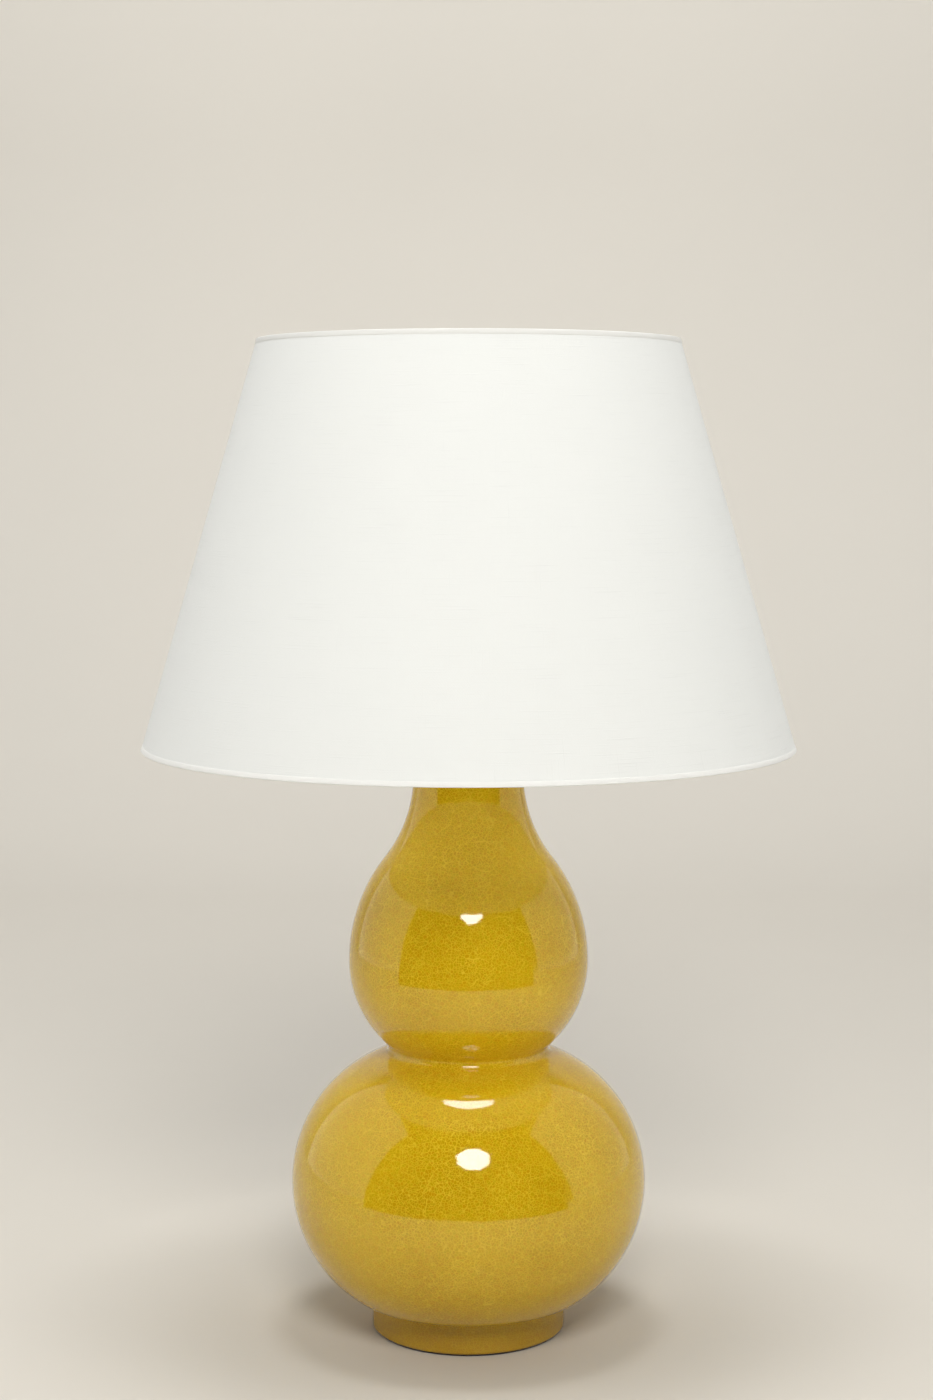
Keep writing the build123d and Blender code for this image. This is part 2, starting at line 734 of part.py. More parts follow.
with BuildPart() as filament:
    with BuildLine(Plane.XZ):
        FilletPolyline((-lead_spread, filament_foot), (0, filament_foot + lead_spread / 2),
                       (lead_spread, filament_foot), radius=lead_spread / 3)
    with BuildSketch(Plane(origin=(-lead_spread, 0, filament_foot), z_dir=(2, 0, 1))):
        Circle(filament_radius)
    sweep()
save(filament, "filament")
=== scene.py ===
"""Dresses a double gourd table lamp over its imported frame.

The lamp's sizes are in millimetres, as a maker writes them, and its meshes come out in metres.
Finishes and the studio are in metres from the start. +Z is up along the lamp's axis and -Y is the
front. Each sub-assembly is a class that holds its sizes, builds its pieces and gives them their
finishes.
"""
from __future__ import annotations

import json
import logging
import math
from collections.abc import Callable, Sequence
from dataclasses import dataclass
from enum import Enum

import bmesh
import bpy
from mathutils import Matrix, Vector

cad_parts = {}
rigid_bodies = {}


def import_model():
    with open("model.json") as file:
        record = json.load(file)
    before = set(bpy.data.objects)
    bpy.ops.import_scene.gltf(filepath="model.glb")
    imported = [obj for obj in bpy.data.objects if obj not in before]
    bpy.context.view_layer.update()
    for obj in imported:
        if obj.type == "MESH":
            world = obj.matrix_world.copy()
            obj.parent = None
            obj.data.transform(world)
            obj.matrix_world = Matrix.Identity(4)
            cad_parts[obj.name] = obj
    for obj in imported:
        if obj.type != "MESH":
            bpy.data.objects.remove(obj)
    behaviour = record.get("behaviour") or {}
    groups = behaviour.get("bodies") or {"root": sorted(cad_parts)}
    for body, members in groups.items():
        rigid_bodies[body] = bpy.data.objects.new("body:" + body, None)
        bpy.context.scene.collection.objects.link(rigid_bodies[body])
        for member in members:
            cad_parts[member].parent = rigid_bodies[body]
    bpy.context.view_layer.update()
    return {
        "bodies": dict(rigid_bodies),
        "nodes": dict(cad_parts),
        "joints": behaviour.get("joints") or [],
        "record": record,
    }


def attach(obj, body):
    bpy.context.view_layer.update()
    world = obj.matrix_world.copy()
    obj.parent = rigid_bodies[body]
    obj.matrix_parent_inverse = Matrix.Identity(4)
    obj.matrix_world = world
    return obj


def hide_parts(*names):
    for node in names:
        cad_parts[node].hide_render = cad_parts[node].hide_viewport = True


LOG = logging.getLogger("double_gourd_lamp")
MM = 0.001
CLOTH = "cloth"

Point = tuple[float, float]
Point3 = tuple[float, float, float]
Colour = tuple[float, float, float]
Outline = Sequence[Point] | Callable[[float], Sequence[Point]]
Socket = bpy.types.NodeSocket
Feed = Socket | float | tuple[float, ...]


class Body(Enum):
    """The bodies of the frame that pieces ride on."""

    LAMP = "lamp"
    SWITCH = "switch"
    BULB = "bulb"
    CARRIER = "carrier"
    DUPLEX = "duplex"
    SHADE = "shade"


class Slot(Enum):
    """The material slots of the record."""

    GLAZE = "mustard_glaze"
    FELT = "dark_felt"
    RUBBER = "black_rubber"
    ZINC = "zinc_steel"
    BRASS = "brass"
    PORCELAIN = "porcelain"
    BRONZE = "contact_bronze"
    RESIN = "bakelite"
    SOLDER = "solder"
    BLACK_GLASS = "black_glass"
    CAP = "cap_aluminium"
    OPAL = "opal_glass"
    CLEAR = "clear_glass"
    LEAD = "lead_wire"
    CARRIER_BRASS = "carrier_brass"
    ENAMEL = "white_metal"
    NYLON = "nylon"
    LINER = "white_liner"
    LINEN = "white_linen"
    TAPE = "cream_tape"


class Aim(Enum):
    """The way that the axis of a turned piece points."""

    UP = "up"
    RIGHT = "right"
    BACK = "back"

    def matrix(self) -> Matrix:
        """The turn that takes +Z to this way.

        Returns:
            The turn.
        """
        turns = {
            Aim.UP: Matrix.Identity(4),
            Aim.RIGHT: Matrix.Rotation(math.pi / 2, 4, "Y"),
            Aim.BACK: Matrix.Rotation(-math.pi / 2, 4, "X"),
        }
        return turns[self]


# ---------------------------------------------------------------- outlines


def toward(start: Point, end: Point, distance: float) -> Point:
    """The point at a distance from start on the way to end.

    Args:
        start: Where the way begins.
        end: What it leads to.
        distance: How far to go.

    Returns:
        The point.
    """
    length = math.dist(start, end)
    return (
        start[0] + (end[0] - start[0]) * distance / length,
        start[1] + (end[1] - start[1]) * distance / length,
    )


def arc(centre: Point, start: Point, end: Point, steps: int) -> list[Point]:
    """Points on an arc of under half a turn.

    Args:
        centre: Centre of the arc.
        start: First point; its distance from the centre is the radius.
        end: Point that the arc ends at.
        steps: Number of chords.

    Returns:
        The points, with both ends.
    """
    first = math.atan2(start[1] - centre[1], start[0] - centre[0])
    last = math.atan2(end[1] - centre[1], end[0] - centre[0])
    turn = (last - first + math.pi) % math.tau - math.pi
    radius = math.dist(centre, start)
    return [
        (
            centre[0] + radius * math.cos(first + turn * i / steps),
            centre[1] + radius * math.sin(first + turn * i / steps),
        )
        for i in range(steps + 1)
    ]


def eased(corners: Sequence[tuple[float, float, float]], steps: int = 4) -> list[Point]:
    """A closed outline whose corners are turned into rounds.

    Args:
        corners: Radius, height and round of each corner in order.
        steps: Chords in each round.

    Returns:
        The points of the outline.
    """
    points: list[Point] = []
    count = len(corners)
    for i, (x, y, wanted) in enumerate(corners):
        here = (x, y)
        before = corners[i - 1][:2]
        after = corners[(i + 1) % count][:2]
        back, on = math.dist(here, before), math.dist(here, after)
        cosine = ((before[0] - x) * (after[0] - x) + (before[1] - y) * (after[1] - y)) / (back * on)
        half = math.acos(max(-1.0, min(1.0, cosine))) / 2
        if wanted <= 0 or half > math.pi / 2 - 0.01:
            points.append(here)
            continue
        reach = min(wanted / math.tan(half), 0.48 * back, 0.48 * on)
        start, end = toward(here, before, reach), toward(here, after, reach)
        middle = ((start[0] + end[0]) / 2, (start[1] + end[1]) / 2)
        centre = toward(here, middle, reach / math.cos(half))
        points += arc(centre, start, end, steps)
    return points


def band(base: float, height: float, inner: float, outer: float, round_: float) -> list[Point]:
    """The outline of a ring with four eased edges.

    Args:
        base: Height of its underside.
        height: Its own height.
        inner: Inner radius.
        outer: Outer radius.
        round_: Round of its edges.

    Returns:
        The points of the outline.
    """
    top = base + height
    return eased(
        [(inner, base, round_), (outer, base, round_), (outer, top, round_), (inner, top, round_)]
    )


# ---------------------------------------------------------------- meshes


def piece_from(name: str, points: Sequence[Point3], faces: Sequence[Sequence[int]],
               sharp: float = 32.0) -> bpy.types.Object:
    """An object from points in millimetres.

    Args:
        name: Name of the piece.
        points: Its vertices.
        faces: Vertex numbers of each face.
        sharp: Edges that turn by more degrees than this stay crisp.

    Returns:
        The object, smooth shaded, with its normals outward.
    """
    mesh = bpy.data.meshes.new(name)
    mesh.from_pydata([(x * MM, y * MM, z * MM) for x, y, z in points], [], faces)
    work = bmesh.new()
    work.from_mesh(mesh)
    bmesh.ops.remove_doubles(work, verts=work.verts, dist=2e-6)
    bmesh.ops.recalc_face_normals(work, faces=work.faces)
    work.to_mesh(mesh)
    work.free()
    soften(mesh, sharp)
    piece = bpy.data.objects.new(name, mesh)
    bpy.context.scene.collection.objects.link(piece)
    return piece


def soften(mesh: bpy.types.Mesh, sharp: float) -> None:
    """Shade a mesh smooth but for its crisp edges.

    Args:
        mesh: The mesh.
        sharp: See piece_from.
    """
    mesh.polygons.foreach_set("use_smooth", [True] * len(mesh.polygons))
    mesh.set_sharp_from_angle(angle=math.radians(sharp))
    mesh.update()


def turned(name: str, outline: Outline, segments: int = 96, closed: bool = True,
           aim: Aim = Aim.UP, at: Point3 = (0.0, 0.0, 0.0),
           sharp: float = 32.0) -> bpy.types.Object:
    """A turned piece.

    Args:
        name: Name of the piece.
        outline: Points of the section as radius and height, or a function that gives them for
            an angle, which makes threads, flutes and flats.
        segments: Steps round the axis.
        closed: Whether the section closes on itself, as a ring's does.
        aim: The way that the axis points.
        at: Foot of the axis.
        sharp: See piece_from.

    Returns:
        The piece.
    """
    rings = []
    for i in range(segments):
        angle = math.tau * i / segments
        section = outline(angle) if callable(outline) else outline
        rings.append([(r * math.cos(angle), r * math.sin(angle), z) for r, z in section])
    count = len(rings[0])
    points = [point for ring in rings for point in ring]
    steps = count if closed else count - 1
    faces = [
        (
            i * count + j,
            (i + 1) % segments * count + j,
            (i + 1) % segments * count + (j + 1) % count,
            i * count + (j + 1) % count,
        )
        for i in range(segments)
        for j in range(steps)
    ]
    piece = piece_from(name, points, faces, sharp)
    piece.data.transform(Matrix.Translation(Vector(at) * MM) @ aim.matrix())
    return piece


def bent_path(corners: Sequence[Point], bend: float, steps: int = 8) -> list[Point]:
    """An open path with arcs at its inner corners.

    Args:
        corners: Radius and height of each corner.
        bend: Radius of the bends.
        steps: Chords in each bend.

    Returns:
        The points of the path.
    """
    path = [corners[0]]
    for before, here, after in zip(corners, corners[1:], corners[2:]):
        path += eased([(*before, 0), (*here, bend), (*after, 0)], steps)[1:-1]
    path.append(corners[-1])
    return path


def tube(name: str, path: Sequence[Point3], radius: float, sides: int = 16,
         closed: bool = False) -> bpy.types.Object:
    """Round wire along a path, with domed ends.

    Args:
        name: Name of the piece.
        path: Points of the centreline.
        radius: Radius of the wire.
        sides: Steps round the wire.
        closed: Whether the path closes on itself.

    Returns:
        The piece.
    """
    line = [Vector(p) for p in path]
    count = len(line)
    rings: list[tuple[Vector, Vector, float]] = []
    for i, point in enumerate(line):
        before = line[i - 1] if closed or i else line[0]
        after = line[(i + 1) % count] if closed or i < count - 1 else line[-1]
        rings.append((point, (after - before).normalized(), radius))
    if not closed:
        start, first = rings[0][0], rings[0][1]
        end, last = rings[-1][0], rings[-1][1]
        dome = [(math.sin(a) * radius, math.cos(a) * radius) for a in (0.0, 0.5, 1.0, 1.3)]
        flat, tip = radius * 0.96, radius * 0.48
        rings = (
            [(start - first * (out - flat) * 0.5 - first * tip, first, max(r, 0.01))
             for r, out in dome]
            + rings
            + [(end + last * (out - flat) * 0.5 + last * tip, last, max(r, 0.01))
               for r, out in reversed(dome)]
        )
    aside = rings[0][1].orthogonal().normalized()
    points: list[Point3] = []
    for point, along, reach in rings:
        aside = (aside - along * aside.dot(along)).normalized()
        other = along.cross(aside)
        for k in range(sides):
            angle = math.tau * k / sides
            out = aside * math.cos(angle) + other * math.sin(angle)
            points.append(tuple(point + out * reach))
    total = len(rings)
    loops = total if closed else total - 1
    faces: list[tuple[int, ...]] = [
        (i * sides + k, i * sides + (k + 1) % sides,
         (i + 1) % total * sides + (k + 1) % sides, (i + 1) % total * sides + k)
        for i in range(loops)
        for k in range(sides)
    ]
    if not closed:
        faces += [tuple(range(sides)), tuple(range((total - 1) * sides, total * sides))]
    return piece_from(name, points, faces, 60.0)


def wire_ring(name: str, radius: float, height: float, wire: float) -> bpy.types.Object:
    """A ring of round wire about the lamp's axis.

    Args:
        name: Name of the piece.
        radius: Radius of the wire's centreline.
        height: Height of the centreline.
        wire: Radius of the wire.

    Returns:
        The piece.
    """
    sides = 20
    angles = [math.tau * k / sides for k in range(sides)]
    section = [(radius + wire * math.cos(a), height + wire * math.sin(a)) for a in angles]
    return turned(name, section, 192, sharp=60.0)


def joined(name: str, parts: Sequence[bpy.types.Object]) -> bpy.types.Object:
    """One object out of several.

    Args:
        name: Name of the whole.
        parts: The objects, which are used up.

    Returns:
        The object.
    """
    work = bmesh.new()
    for part in parts:
        work.from_mesh(part.data)
        bpy.data.objects.remove(part)
    mesh = bpy.data.meshes.new(name)
    work.to_mesh(mesh)
    work.free()
    whole = bpy.data.objects.new(name, mesh)
    bpy.context.scene.collection.objects.link(whole)
    return whole


def turned_copies(name: str, part: bpy.types.Object, angles: Sequence[float]) -> bpy.types.Object:
    """Copies of a part about the lamp's axis as one object.

    Args:
        name: Name of the whole.
        part: The part at angle 0, which is used up.
        angles: Degrees of each copy.

    Returns:
        The object.
    """
    copies = []
    for angle in angles:
        copy = bpy.data.objects.new(name, part.data.copy())
        copy.data.transform(Matrix.Rotation(math.radians(angle), 4, "Z"))
        copies.append(copy)
    bpy.data.objects.remove(part)
    return joined(name, copies)


def cut(piece: bpy.types.Object, tools: Sequence[bpy.types.Object], sharp: float = 32.0) -> None:
    """Cut tools out of a piece and drop them.

    Args:
        piece: What is cut.
        tools: The closed shapes that are taken away.
        sharp: See piece_from.
    """
    for tool in tools:
        step = piece.modifiers.new("cut", "BOOLEAN")
        step.operation = "DIFFERENCE"
        step.solver = "EXACT"
        step.object = tool
    graph = bpy.context.evaluated_depsgraph_get()
    mesh = bpy.data.meshes.new_from_object(piece.evaluated_get(graph))
    piece.modifiers.clear()
    piece.data = mesh
    soften(mesh, sharp)
    for tool in tools:
        bpy.data.objects.remove(tool)


def drill(radius: float, length: float, aim: Aim, at: Point3) -> bpy.types.Object:
    """A round tool for cut, with its end at a point.

    Args:
        radius: Its radius.
        length: Its length.
        aim: The way that it points.
        at: Where it begins.

    Returns:
        The tool.
    """
    section = [(0.0, 0.0), (radius, 0.0), (radius, length), (0.0, length)]
    return turned("drill", section, 48, closed=False, aim=aim, at=at)


# ---------------------------------------------------------------- finishes


class Sum(Enum):
    """The sums that a maths node does."""

    ADD = "ADD"
    TAKE = "SUBTRACT"
    TIMES = "MULTIPLY"
    TIMES_PLUS = "MULTIPLY_ADD"
    MOST = "MAXIMUM"
    SINE = "SINE"


class CellPart(Enum):
    """What a cell pattern measures from."""

    MIDDLE = "F1"
    EDGE = "DISTANCE_TO_EDGE"


class Lay(Enum):
    """How one colour lies over another."""

    OVER = "MIX"
    SOFTLY = "SOFT_LIGHT"


class Sheet:
    """The nodes of one material, with short ways to add and join them."""

    def __init__(self, name: str) -> None:
        """Start a material with a principled shader.

        Args:
            name: Name of the material.
        """
        self.material = bpy.data.materials.new(name)
        self.material.use_nodes = True
        self.tree = self.material.node_tree
        self.shader = self.tree.nodes["Principled BSDF"]
        self.where = self.node("ShaderNodeTexCoord").outputs["Object"]

    def node(self, kind: str, **settings: str) -> bpy.types.Node:
        """Add a node.

        Args:
            kind: Type of the node.
            **settings: Its properties.

        Returns:
            The node.
        """
        made = self.tree.nodes.new(kind)
        for key, value in settings.items():
            setattr(made, key, value)
        return made

    def feed(self, value: Feed, socket: Socket) -> None:
        """Link a socket to an output, or set it to a plain value.

        Args:
            value: The output or the value.
            socket: What takes it.
        """
        if isinstance(value, bpy.types.NodeSocket):
            self.tree.links.new(value, socket)
        else:
            socket.default_value = value

    def math(self, way: Sum, first: Feed, second: Feed = 0.0, third: Feed = 0.0) -> Socket:
        """Work out a number.

        Args:
            way: The sum.
            first: First number.
            second: Second number.
            third: Third number, where the sum takes one.

        Returns:
            The result.
        """
        made = self.node("ShaderNodeMath", operation=way.value)
        for value, socket in zip((first, second, third), made.inputs):
            self.feed(value, socket)
        return made.outputs[0]

    def noise(self, scale: float, detail: float = 2.0, rough: float = 0.5,
              where: Socket | None = None) -> Socket:
        """Cloudy values from 0 to 1.

        Args:
            scale: Waves a metre.
            detail: How many finer layers lie on them.
            rough: Strength of the finer layers.
            where: Coordinates; the object's own where none are given.

        Returns:
            The values.
        """
        made = self.node("ShaderNodeTexNoise")
        self.feed(where or self.where, made.inputs["Vector"])
        made.inputs["Scale"].default_value = scale
        made.inputs["Detail"].default_value = detail
        made.inputs["Roughness"].default_value = rough
        return made.outputs["Fac"]

    def cells(self, scale: float, part: CellPart, where: Socket) -> bpy.types.Node:
        """A cell pattern.

        Args:
            scale: Cells a metre.
            part: What its distances are measured from.
            where: Coordinates.

        Returns:
            The pattern's node.
        """
        made = self.node("ShaderNodeTexVoronoi", feature=part.value)
        self.feed(where, made.inputs["Vector"])
        made.inputs["Scale"].default_value = scale
        return made

    def drawn_out(self, stretch: Point3, where: Socket | None = None) -> Socket:
        """Coordinates with each way scaled by itself.

        Args:
            stretch: Scale of each way.
            where: Coordinates; the object's own where none are given.

        Returns:
            The new coordinates.
        """
        made = self.node("ShaderNodeMapping")
        self.feed(where or self.where, made.inputs["Vector"])
        made.inputs["Scale"].default_value = stretch
        return made.outputs[0]

    def drifted(self, scale: float, reach: float) -> Socket:
        """Coordinates pushed about, so that a pattern isn't regular.

        Args:
            scale: Waves of the push a metre.
            reach: How far it pushes, in metres.

        Returns:
            The new coordinates.
        """
        cloud = self.node("ShaderNodeTexNoise")
        self.feed(self.where, cloud.inputs["Vector"])
        cloud.inputs["Scale"].default_value = scale
        made = self.node("ShaderNodeVectorMath", operation="MULTIPLY_ADD")
        self.feed(cloud.outputs["Color"], made.inputs[0])
        made.inputs[1].default_value = (reach, reach, reach)
        self.feed(self.where, made.inputs[2])
        return made.outputs[0]

    def step(self, value: Feed, low: float, high: float, first: float = 0.0,
             last: float = 1.0) -> Socket:
        """A value eased from first at low to last at high.

        Args:
            value: What is eased.
            low: Where the change starts.
            high: Where it ends.
            first: Result up to low.
            last: Result from high on.

        Returns:
            The result.
        """
        made = self.node("ShaderNodeMapRange", interpolation_type="SMOOTHSTEP")
        self.feed(value, made.inputs["Value"])
        made.inputs["From Min"].default_value = low
        made.inputs["From Max"].default_value = high
        made.inputs["To Min"].default_value = first
        made.inputs["To Max"].default_value = last
        return made.outputs[0]

    def blend(self, share: Feed, first: Feed, second: Feed, way: Lay = Lay.OVER) -> Socket:
        """A colour between two, or one laid over the other.

        Args:
            share: How much of the second shows.
            first: First colour.
            second: Second colour.
            way: How the second lies on the first.

        Returns:
            The colour.
        """
        made = self.node("ShaderNodeMix", data_type="RGBA", blend_type=way.value)
        self.feed(share, made.inputs[0])
        self.feed((*first, 1.0) if isinstance(first, tuple) else first, made.inputs[6])
        self.feed((*second, 1.0) if isinstance(second, tuple) else second, made.inputs[7])
        return made.outputs[2]

    def relief(self, height: Feed, depth: float) -> None:
        """Raise or sink the surface.

        Args:
            height: Height as a share of depth.
            depth: Depth in metres.
        """
        made = self.node("ShaderNodeBump")
        made.inputs["Strength"].default_value = 1.0
        made.inputs["Distance"].default_value = depth
        self.feed(height, made.inputs["Height"])
        self.feed(made.outputs[0], self.shader.inputs["Normal"])

    def set(self, **sockets: Feed) -> None:
        """Set or link sockets of the shader, with spaces written as underscores."""
        for key, value in sockets.items():
            self.feed(value, self.shader.inputs[key.replace("_", " ")])


@dataclass(frozen=True)
class Finish:
    """A finish that pieces share.

    Attributes:
        slot: The record's slot that it stands for.
        colour: Main colour.
        roughness: Mean roughness.
    """

    slot: Slot
    colour: Colour
    roughness: float

    def material(self) -> bpy.types.Material:
        """Make the finish's material, or find it where it is made already.

        Returns:
            The material.
        """
        name = f"{self.slot.value}_finish"
        made = bpy.data.materials.get(name)
        if made is None:
            sheet = Sheet(name)
            sheet.set(Roughness=self.roughness)
            self.paint(sheet)
            made = sheet.material
            made.diffuse_color = (*self.colour, 1.0)
        return made

    def paint(self, sheet: Sheet) -> None:
        """Lay the finish's pattern on a sheet; each finish has its own."""
        raise NotImplementedError

    def tinted(self, sheet: Sheet, share: Feed, change: float) -> Socket:
        """The main colour, made darker or lighter in places.

        Args:
            sheet: The sheet that it is for.
            share: How far the change goes, from 0 to 1.
            change: Factor on the colour where share is 1.

        Returns:
            The colour.
        """
        changed = tuple(min(1.0, part * change) for part in self.colour)
        return sheet.blend(share, self.colour, changed)

    def uneven(self, sheet: Sheet, pattern: Socket, reach: float) -> Socket:
        """Roughness that wanders evenly about its mean, by reach in all."""
        return sheet.math(Sum.TIMES_PLUS, pattern, reach, self.roughness - reach / 2)


@dataclass(frozen=True)
class CrackleGlaze(Finish):
    """A glassy coloured glaze with a fine net of cracks.

    Attributes:
        deep: Colour where the glaze is thick.
        crack: Colour that shows in the cracks.
        thin: Colour toward the foot: thinner glaze and painted shade under the lower bulb.
        speck: Colour of the rare specks of iron.
        cell: Mean width of a cell of the net, in metres.
        wide: Width of a fine cell as a share of a cell of the wide net.
        crack_share: How much of the crack's colour shows.
        swell: Height of the slow waves in the glaze, in metres.
        glass: Refractive index.
    """

    deep: Colour = (0.585, 0.34, 0.002)
    crack: Colour = (0.86, 0.62, 0.032)
    thin: Colour = (0.30, 0.145, 0.012)
    speck: Colour = (0.22, 0.10, 0.01)
    cell: float = 0.0019
    wide: float = 0.22
    crack_share: float = 0.85
    swell: float = 0.00016
    glass: float = 1.58

    def paint(self, sheet: Sheet) -> None:
        """Mottled colour, two nets of cracks and a faintly uneven gloss.

        Args:
            sheet: The sheet that it is laid on.
        """
        where = sheet.drifted(scale=55.0, reach=0.0045)
        net = sheet.cells(1 / self.cell, CellPart.EDGE, where).outputs["Distance"]
        wide_net = sheet.cells(self.wide / self.cell, CellPart.EDGE, where).outputs["Distance"]
        cracks = sheet.math(Sum.MOST, sheet.step(net, low=0.11, high=0.01),
                            sheet.step(wide_net, low=0.022, high=0.004))
        clouds = sheet.step(sheet.noise(scale=17.0, detail=4.0, rough=0.6), low=0.32, high=0.68)
        tone = sheet.cells(1 / self.cell, CellPart.MIDDLE, where).outputs["Color"]
        body = sheet.blend(clouds, self.deep, self.colour)
        body = sheet.blend(0.10, body, tone, Lay.SOFTLY)
        # the darker foot is partly thinner glaze and partly painted shade under the lower bulb
        body = self.thin_glaze_and_shade_with_specks(sheet, self.crazed(sheet, body, cracks))
        height = sheet.math(Sum.TAKE, sheet.noise(scale=38.0), sheet.math(Sum.TIMES, cracks, 0.010))
        sheet.relief(height, self.swell)
        gloss = sheet.step(clouds, low=0.0, high=1.0, first=0.012, last=0.028)
        rough = sheet.math(Sum.TIMES_PLUS, cracks, 0.05, gloss)
        sheet.set(Base_Color=body, Roughness=rough, IOR=self.glass)

    def crazed(self, sheet: Sheet, body: Socket, cracks: Socket) -> Socket:
        """Show the cracks, fainter in some places than in others.

        Args:
            sheet: The sheet.
            body: Colour between the cracks.
            cracks: 1 in a crack and 0 elsewhere.

        Returns:
            The colour.
        """
        places = sheet.noise(scale=28.0, detail=3.0)
        faint = sheet.step(places, low=0.34, high=0.66, first=0.70, last=1.0)
        seen = sheet.math(Sum.TIMES, sheet.math(Sum.TIMES, cracks, faint), self.crack_share)
        return sheet.blend(seen, body, self.crack)

    def thin_glaze_and_shade_with_specks(self, sheet: Sheet, body: Socket) -> Socket:
        """Darken toward the foot, thin glaze and painted shade together, and add specks.

        Args:
            sheet: The sheet.
            body: Colour of the full glaze.

        Returns:
            The colour.
        """
        rise = sheet.node("ShaderNodeSeparateXYZ")
        sheet.feed(sheet.drifted(scale=30.0, reach=0.006), rise.inputs[0])
        # painted shade: darker toward the foot, where the lower bulb shades it, together with the
        # thinner glaze there
        for low, high, share in ((0.120, 0.020, 0.22), (0.036, 0.012, 0.42)):
            body = sheet.blend(sheet.step(rise.outputs[2], low, high, last=share), body, self.thin)
        dots = sheet.cells(150.0, CellPart.MIDDLE, sheet.where).outputs["Distance"]
        rare = sheet.step(sheet.noise(scale=41.0, detail=1.0), low=0.66, high=0.72)
        specks = sheet.math(Sum.TIMES, sheet.step(dots, low=0.05, high=0.02), rare)
        return sheet.blend(specks, body, self.speck)


@dataclass(frozen=True)
class Metal(Finish):
    """A bare or plated metal.

    Attributes:
        fine: How far the roughness wanders.
        lay: Stretch of the tool marks along each way.
        patina: Colour factor of the duller areas.
        scratch: Depth of the tool marks in metres.
    """

    fine: float = 0.12
    lay: Point3 = (900.0, 900.0, 5200.0)
    patina: float = 0.72
    scratch: float = 0.000012

    def paint(self, sheet: Sheet) -> None:
        """Turned or drawn marks, handled patches and small scratches.

        Args:
            sheet: The sheet that it is laid on.
        """
        marks = sheet.noise(scale=1.0, detail=3.0, rough=0.6, where=sheet.drawn_out(self.lay))
        patches = sheet.step(sheet.noise(scale=95.0, detail=4.0, rough=0.6), low=0.38, high=0.72)
        specks = sheet.step(sheet.noise(scale=900.0), low=0.60, high=0.74)
        wear = sheet.math(Sum.TIMES_PLUS, specks, 0.35, patches)
        rough = sheet.math(Sum.TIMES_PLUS, patches, 0.10, self.uneven(sheet, marks, self.fine))
        sheet.set(Base_Color=self.tinted(sheet, wear, self.patina), Metallic=1.0, Roughness=rough)
        sheet.relief(marks, self.scratch)


@dataclass(frozen=True)
class Enamel(Finish):
    """Stoved enamel on wire or sheet.

    Attributes:
        rub: Colour factor of the duller rubs.
        peel: Depth of the orange peel in metres.
    """

    rub: float = 0.90
    peel: float = 0.00004

    def paint(self, sheet: Sheet) -> None:
        """Orange-peel gloss with a few duller rubs.

        Args:
            sheet: The sheet that it is laid on.
        """
        rubs = sheet.step(sheet.noise(scale=130.0, detail=3.0), low=0.58, high=0.74)
        rough = sheet.math(Sum.TIMES_PLUS, rubs, 0.22, self.roughness)
        sheet.set(Base_Color=self.tinted(sheet, rubs, self.rub), Roughness=rough, Coat_Weight=0.3)
        sheet.relief(sheet.noise(scale=620.0), self.peel)


@dataclass(frozen=True)
class Moulded(Finish):
    """A moulded resin, rubber or nylon.

    Attributes:
        grain: Depth of its grain in metres.
        bloom: Colour factor of the paler bloom.
    """

    grain: float = 0.00003
    bloom: float = 1.5

    def paint(self, sheet: Sheet) -> None:
        """Fine grain with a paler bloom in patches.

        Args:
            sheet: The sheet that it is laid on.
        """
        grain = sheet.noise(scale=2300.0, detail=3.0, rough=0.6)
        bloom = sheet.step(sheet.noise(scale=120.0, detail=4.0), low=0.45, high=0.75)
        sheet.set(Base_Color=self.tinted(sheet, bloom, self.bloom),
                  Roughness=self.uneven(sheet, grain, 0.16))
        sheet.relief(grain, self.grain)


@dataclass(frozen=True)
class Porcelain(Finish):
    """Unglazed pressed porcelain.

    Attributes:
        dot: Colour factor of the dark inclusions.
        grain: Depth of its grain in metres.
    """

    dot: float = 0.7
    grain: float = 0.00003

    def paint(self, sheet: Sheet) -> None:
        """Sugary grain with small dark inclusions.

        Args:
            sheet: The sheet that it is laid on.
        """
        grain = sheet.noise(scale=1900.0, detail=4.0, rough=0.65)
        middles = sheet.cells(700.0, CellPart.MIDDLE, sheet.where).outputs["Distance"]
        dots = sheet.math(Sum.TIMES, sheet.step(middles, low=0.10, high=0.05), 0.5)
        sheet.set(Base_Color=self.tinted(sheet, dots, self.dot),
                  Roughness=self.uneven(sheet, grain, 0.2))
        sheet.relief(grain, self.grain)


@dataclass(frozen=True)
class Glass(Finish):
    """Bulb glass.

    Attributes:
        through: How much light goes straight through.
        milk: Weight of the milky body.
        milk_reach: How far light spreads in it, in metres, for each colour.
        glass: Refractive index.
        ripple: Depth of its ripples in metres.
    """

    through: float = 0.0
    milk: float = 0.0
    milk_reach: Colour = (0.006, 0.006, 0.005)
    glass: float = 1.5
    ripple: float = 0.00004

    def paint(self, sheet: Sheet) -> None:
        """A smooth wall with faint ripples from blowing.

        Args:
            sheet: The sheet that it is laid on.
        """
        film = sheet.step(sheet.noise(scale=300.0, detail=3.0), low=0.5, high=0.8)
        sheet.set(Base_Color=self.tinted(sheet, film, 0.96),
                  Roughness=sheet.math(Sum.TIMES_PLUS, film, 0.05, self.roughness),
                  IOR=self.glass, Transmission_Weight=self.through, Subsurface_Weight=self.milk,
                  Subsurface_Radius=self.milk_reach, Subsurface_Scale=1.0)
        sheet.relief(sheet.noise(scale=70.0), self.ripple)


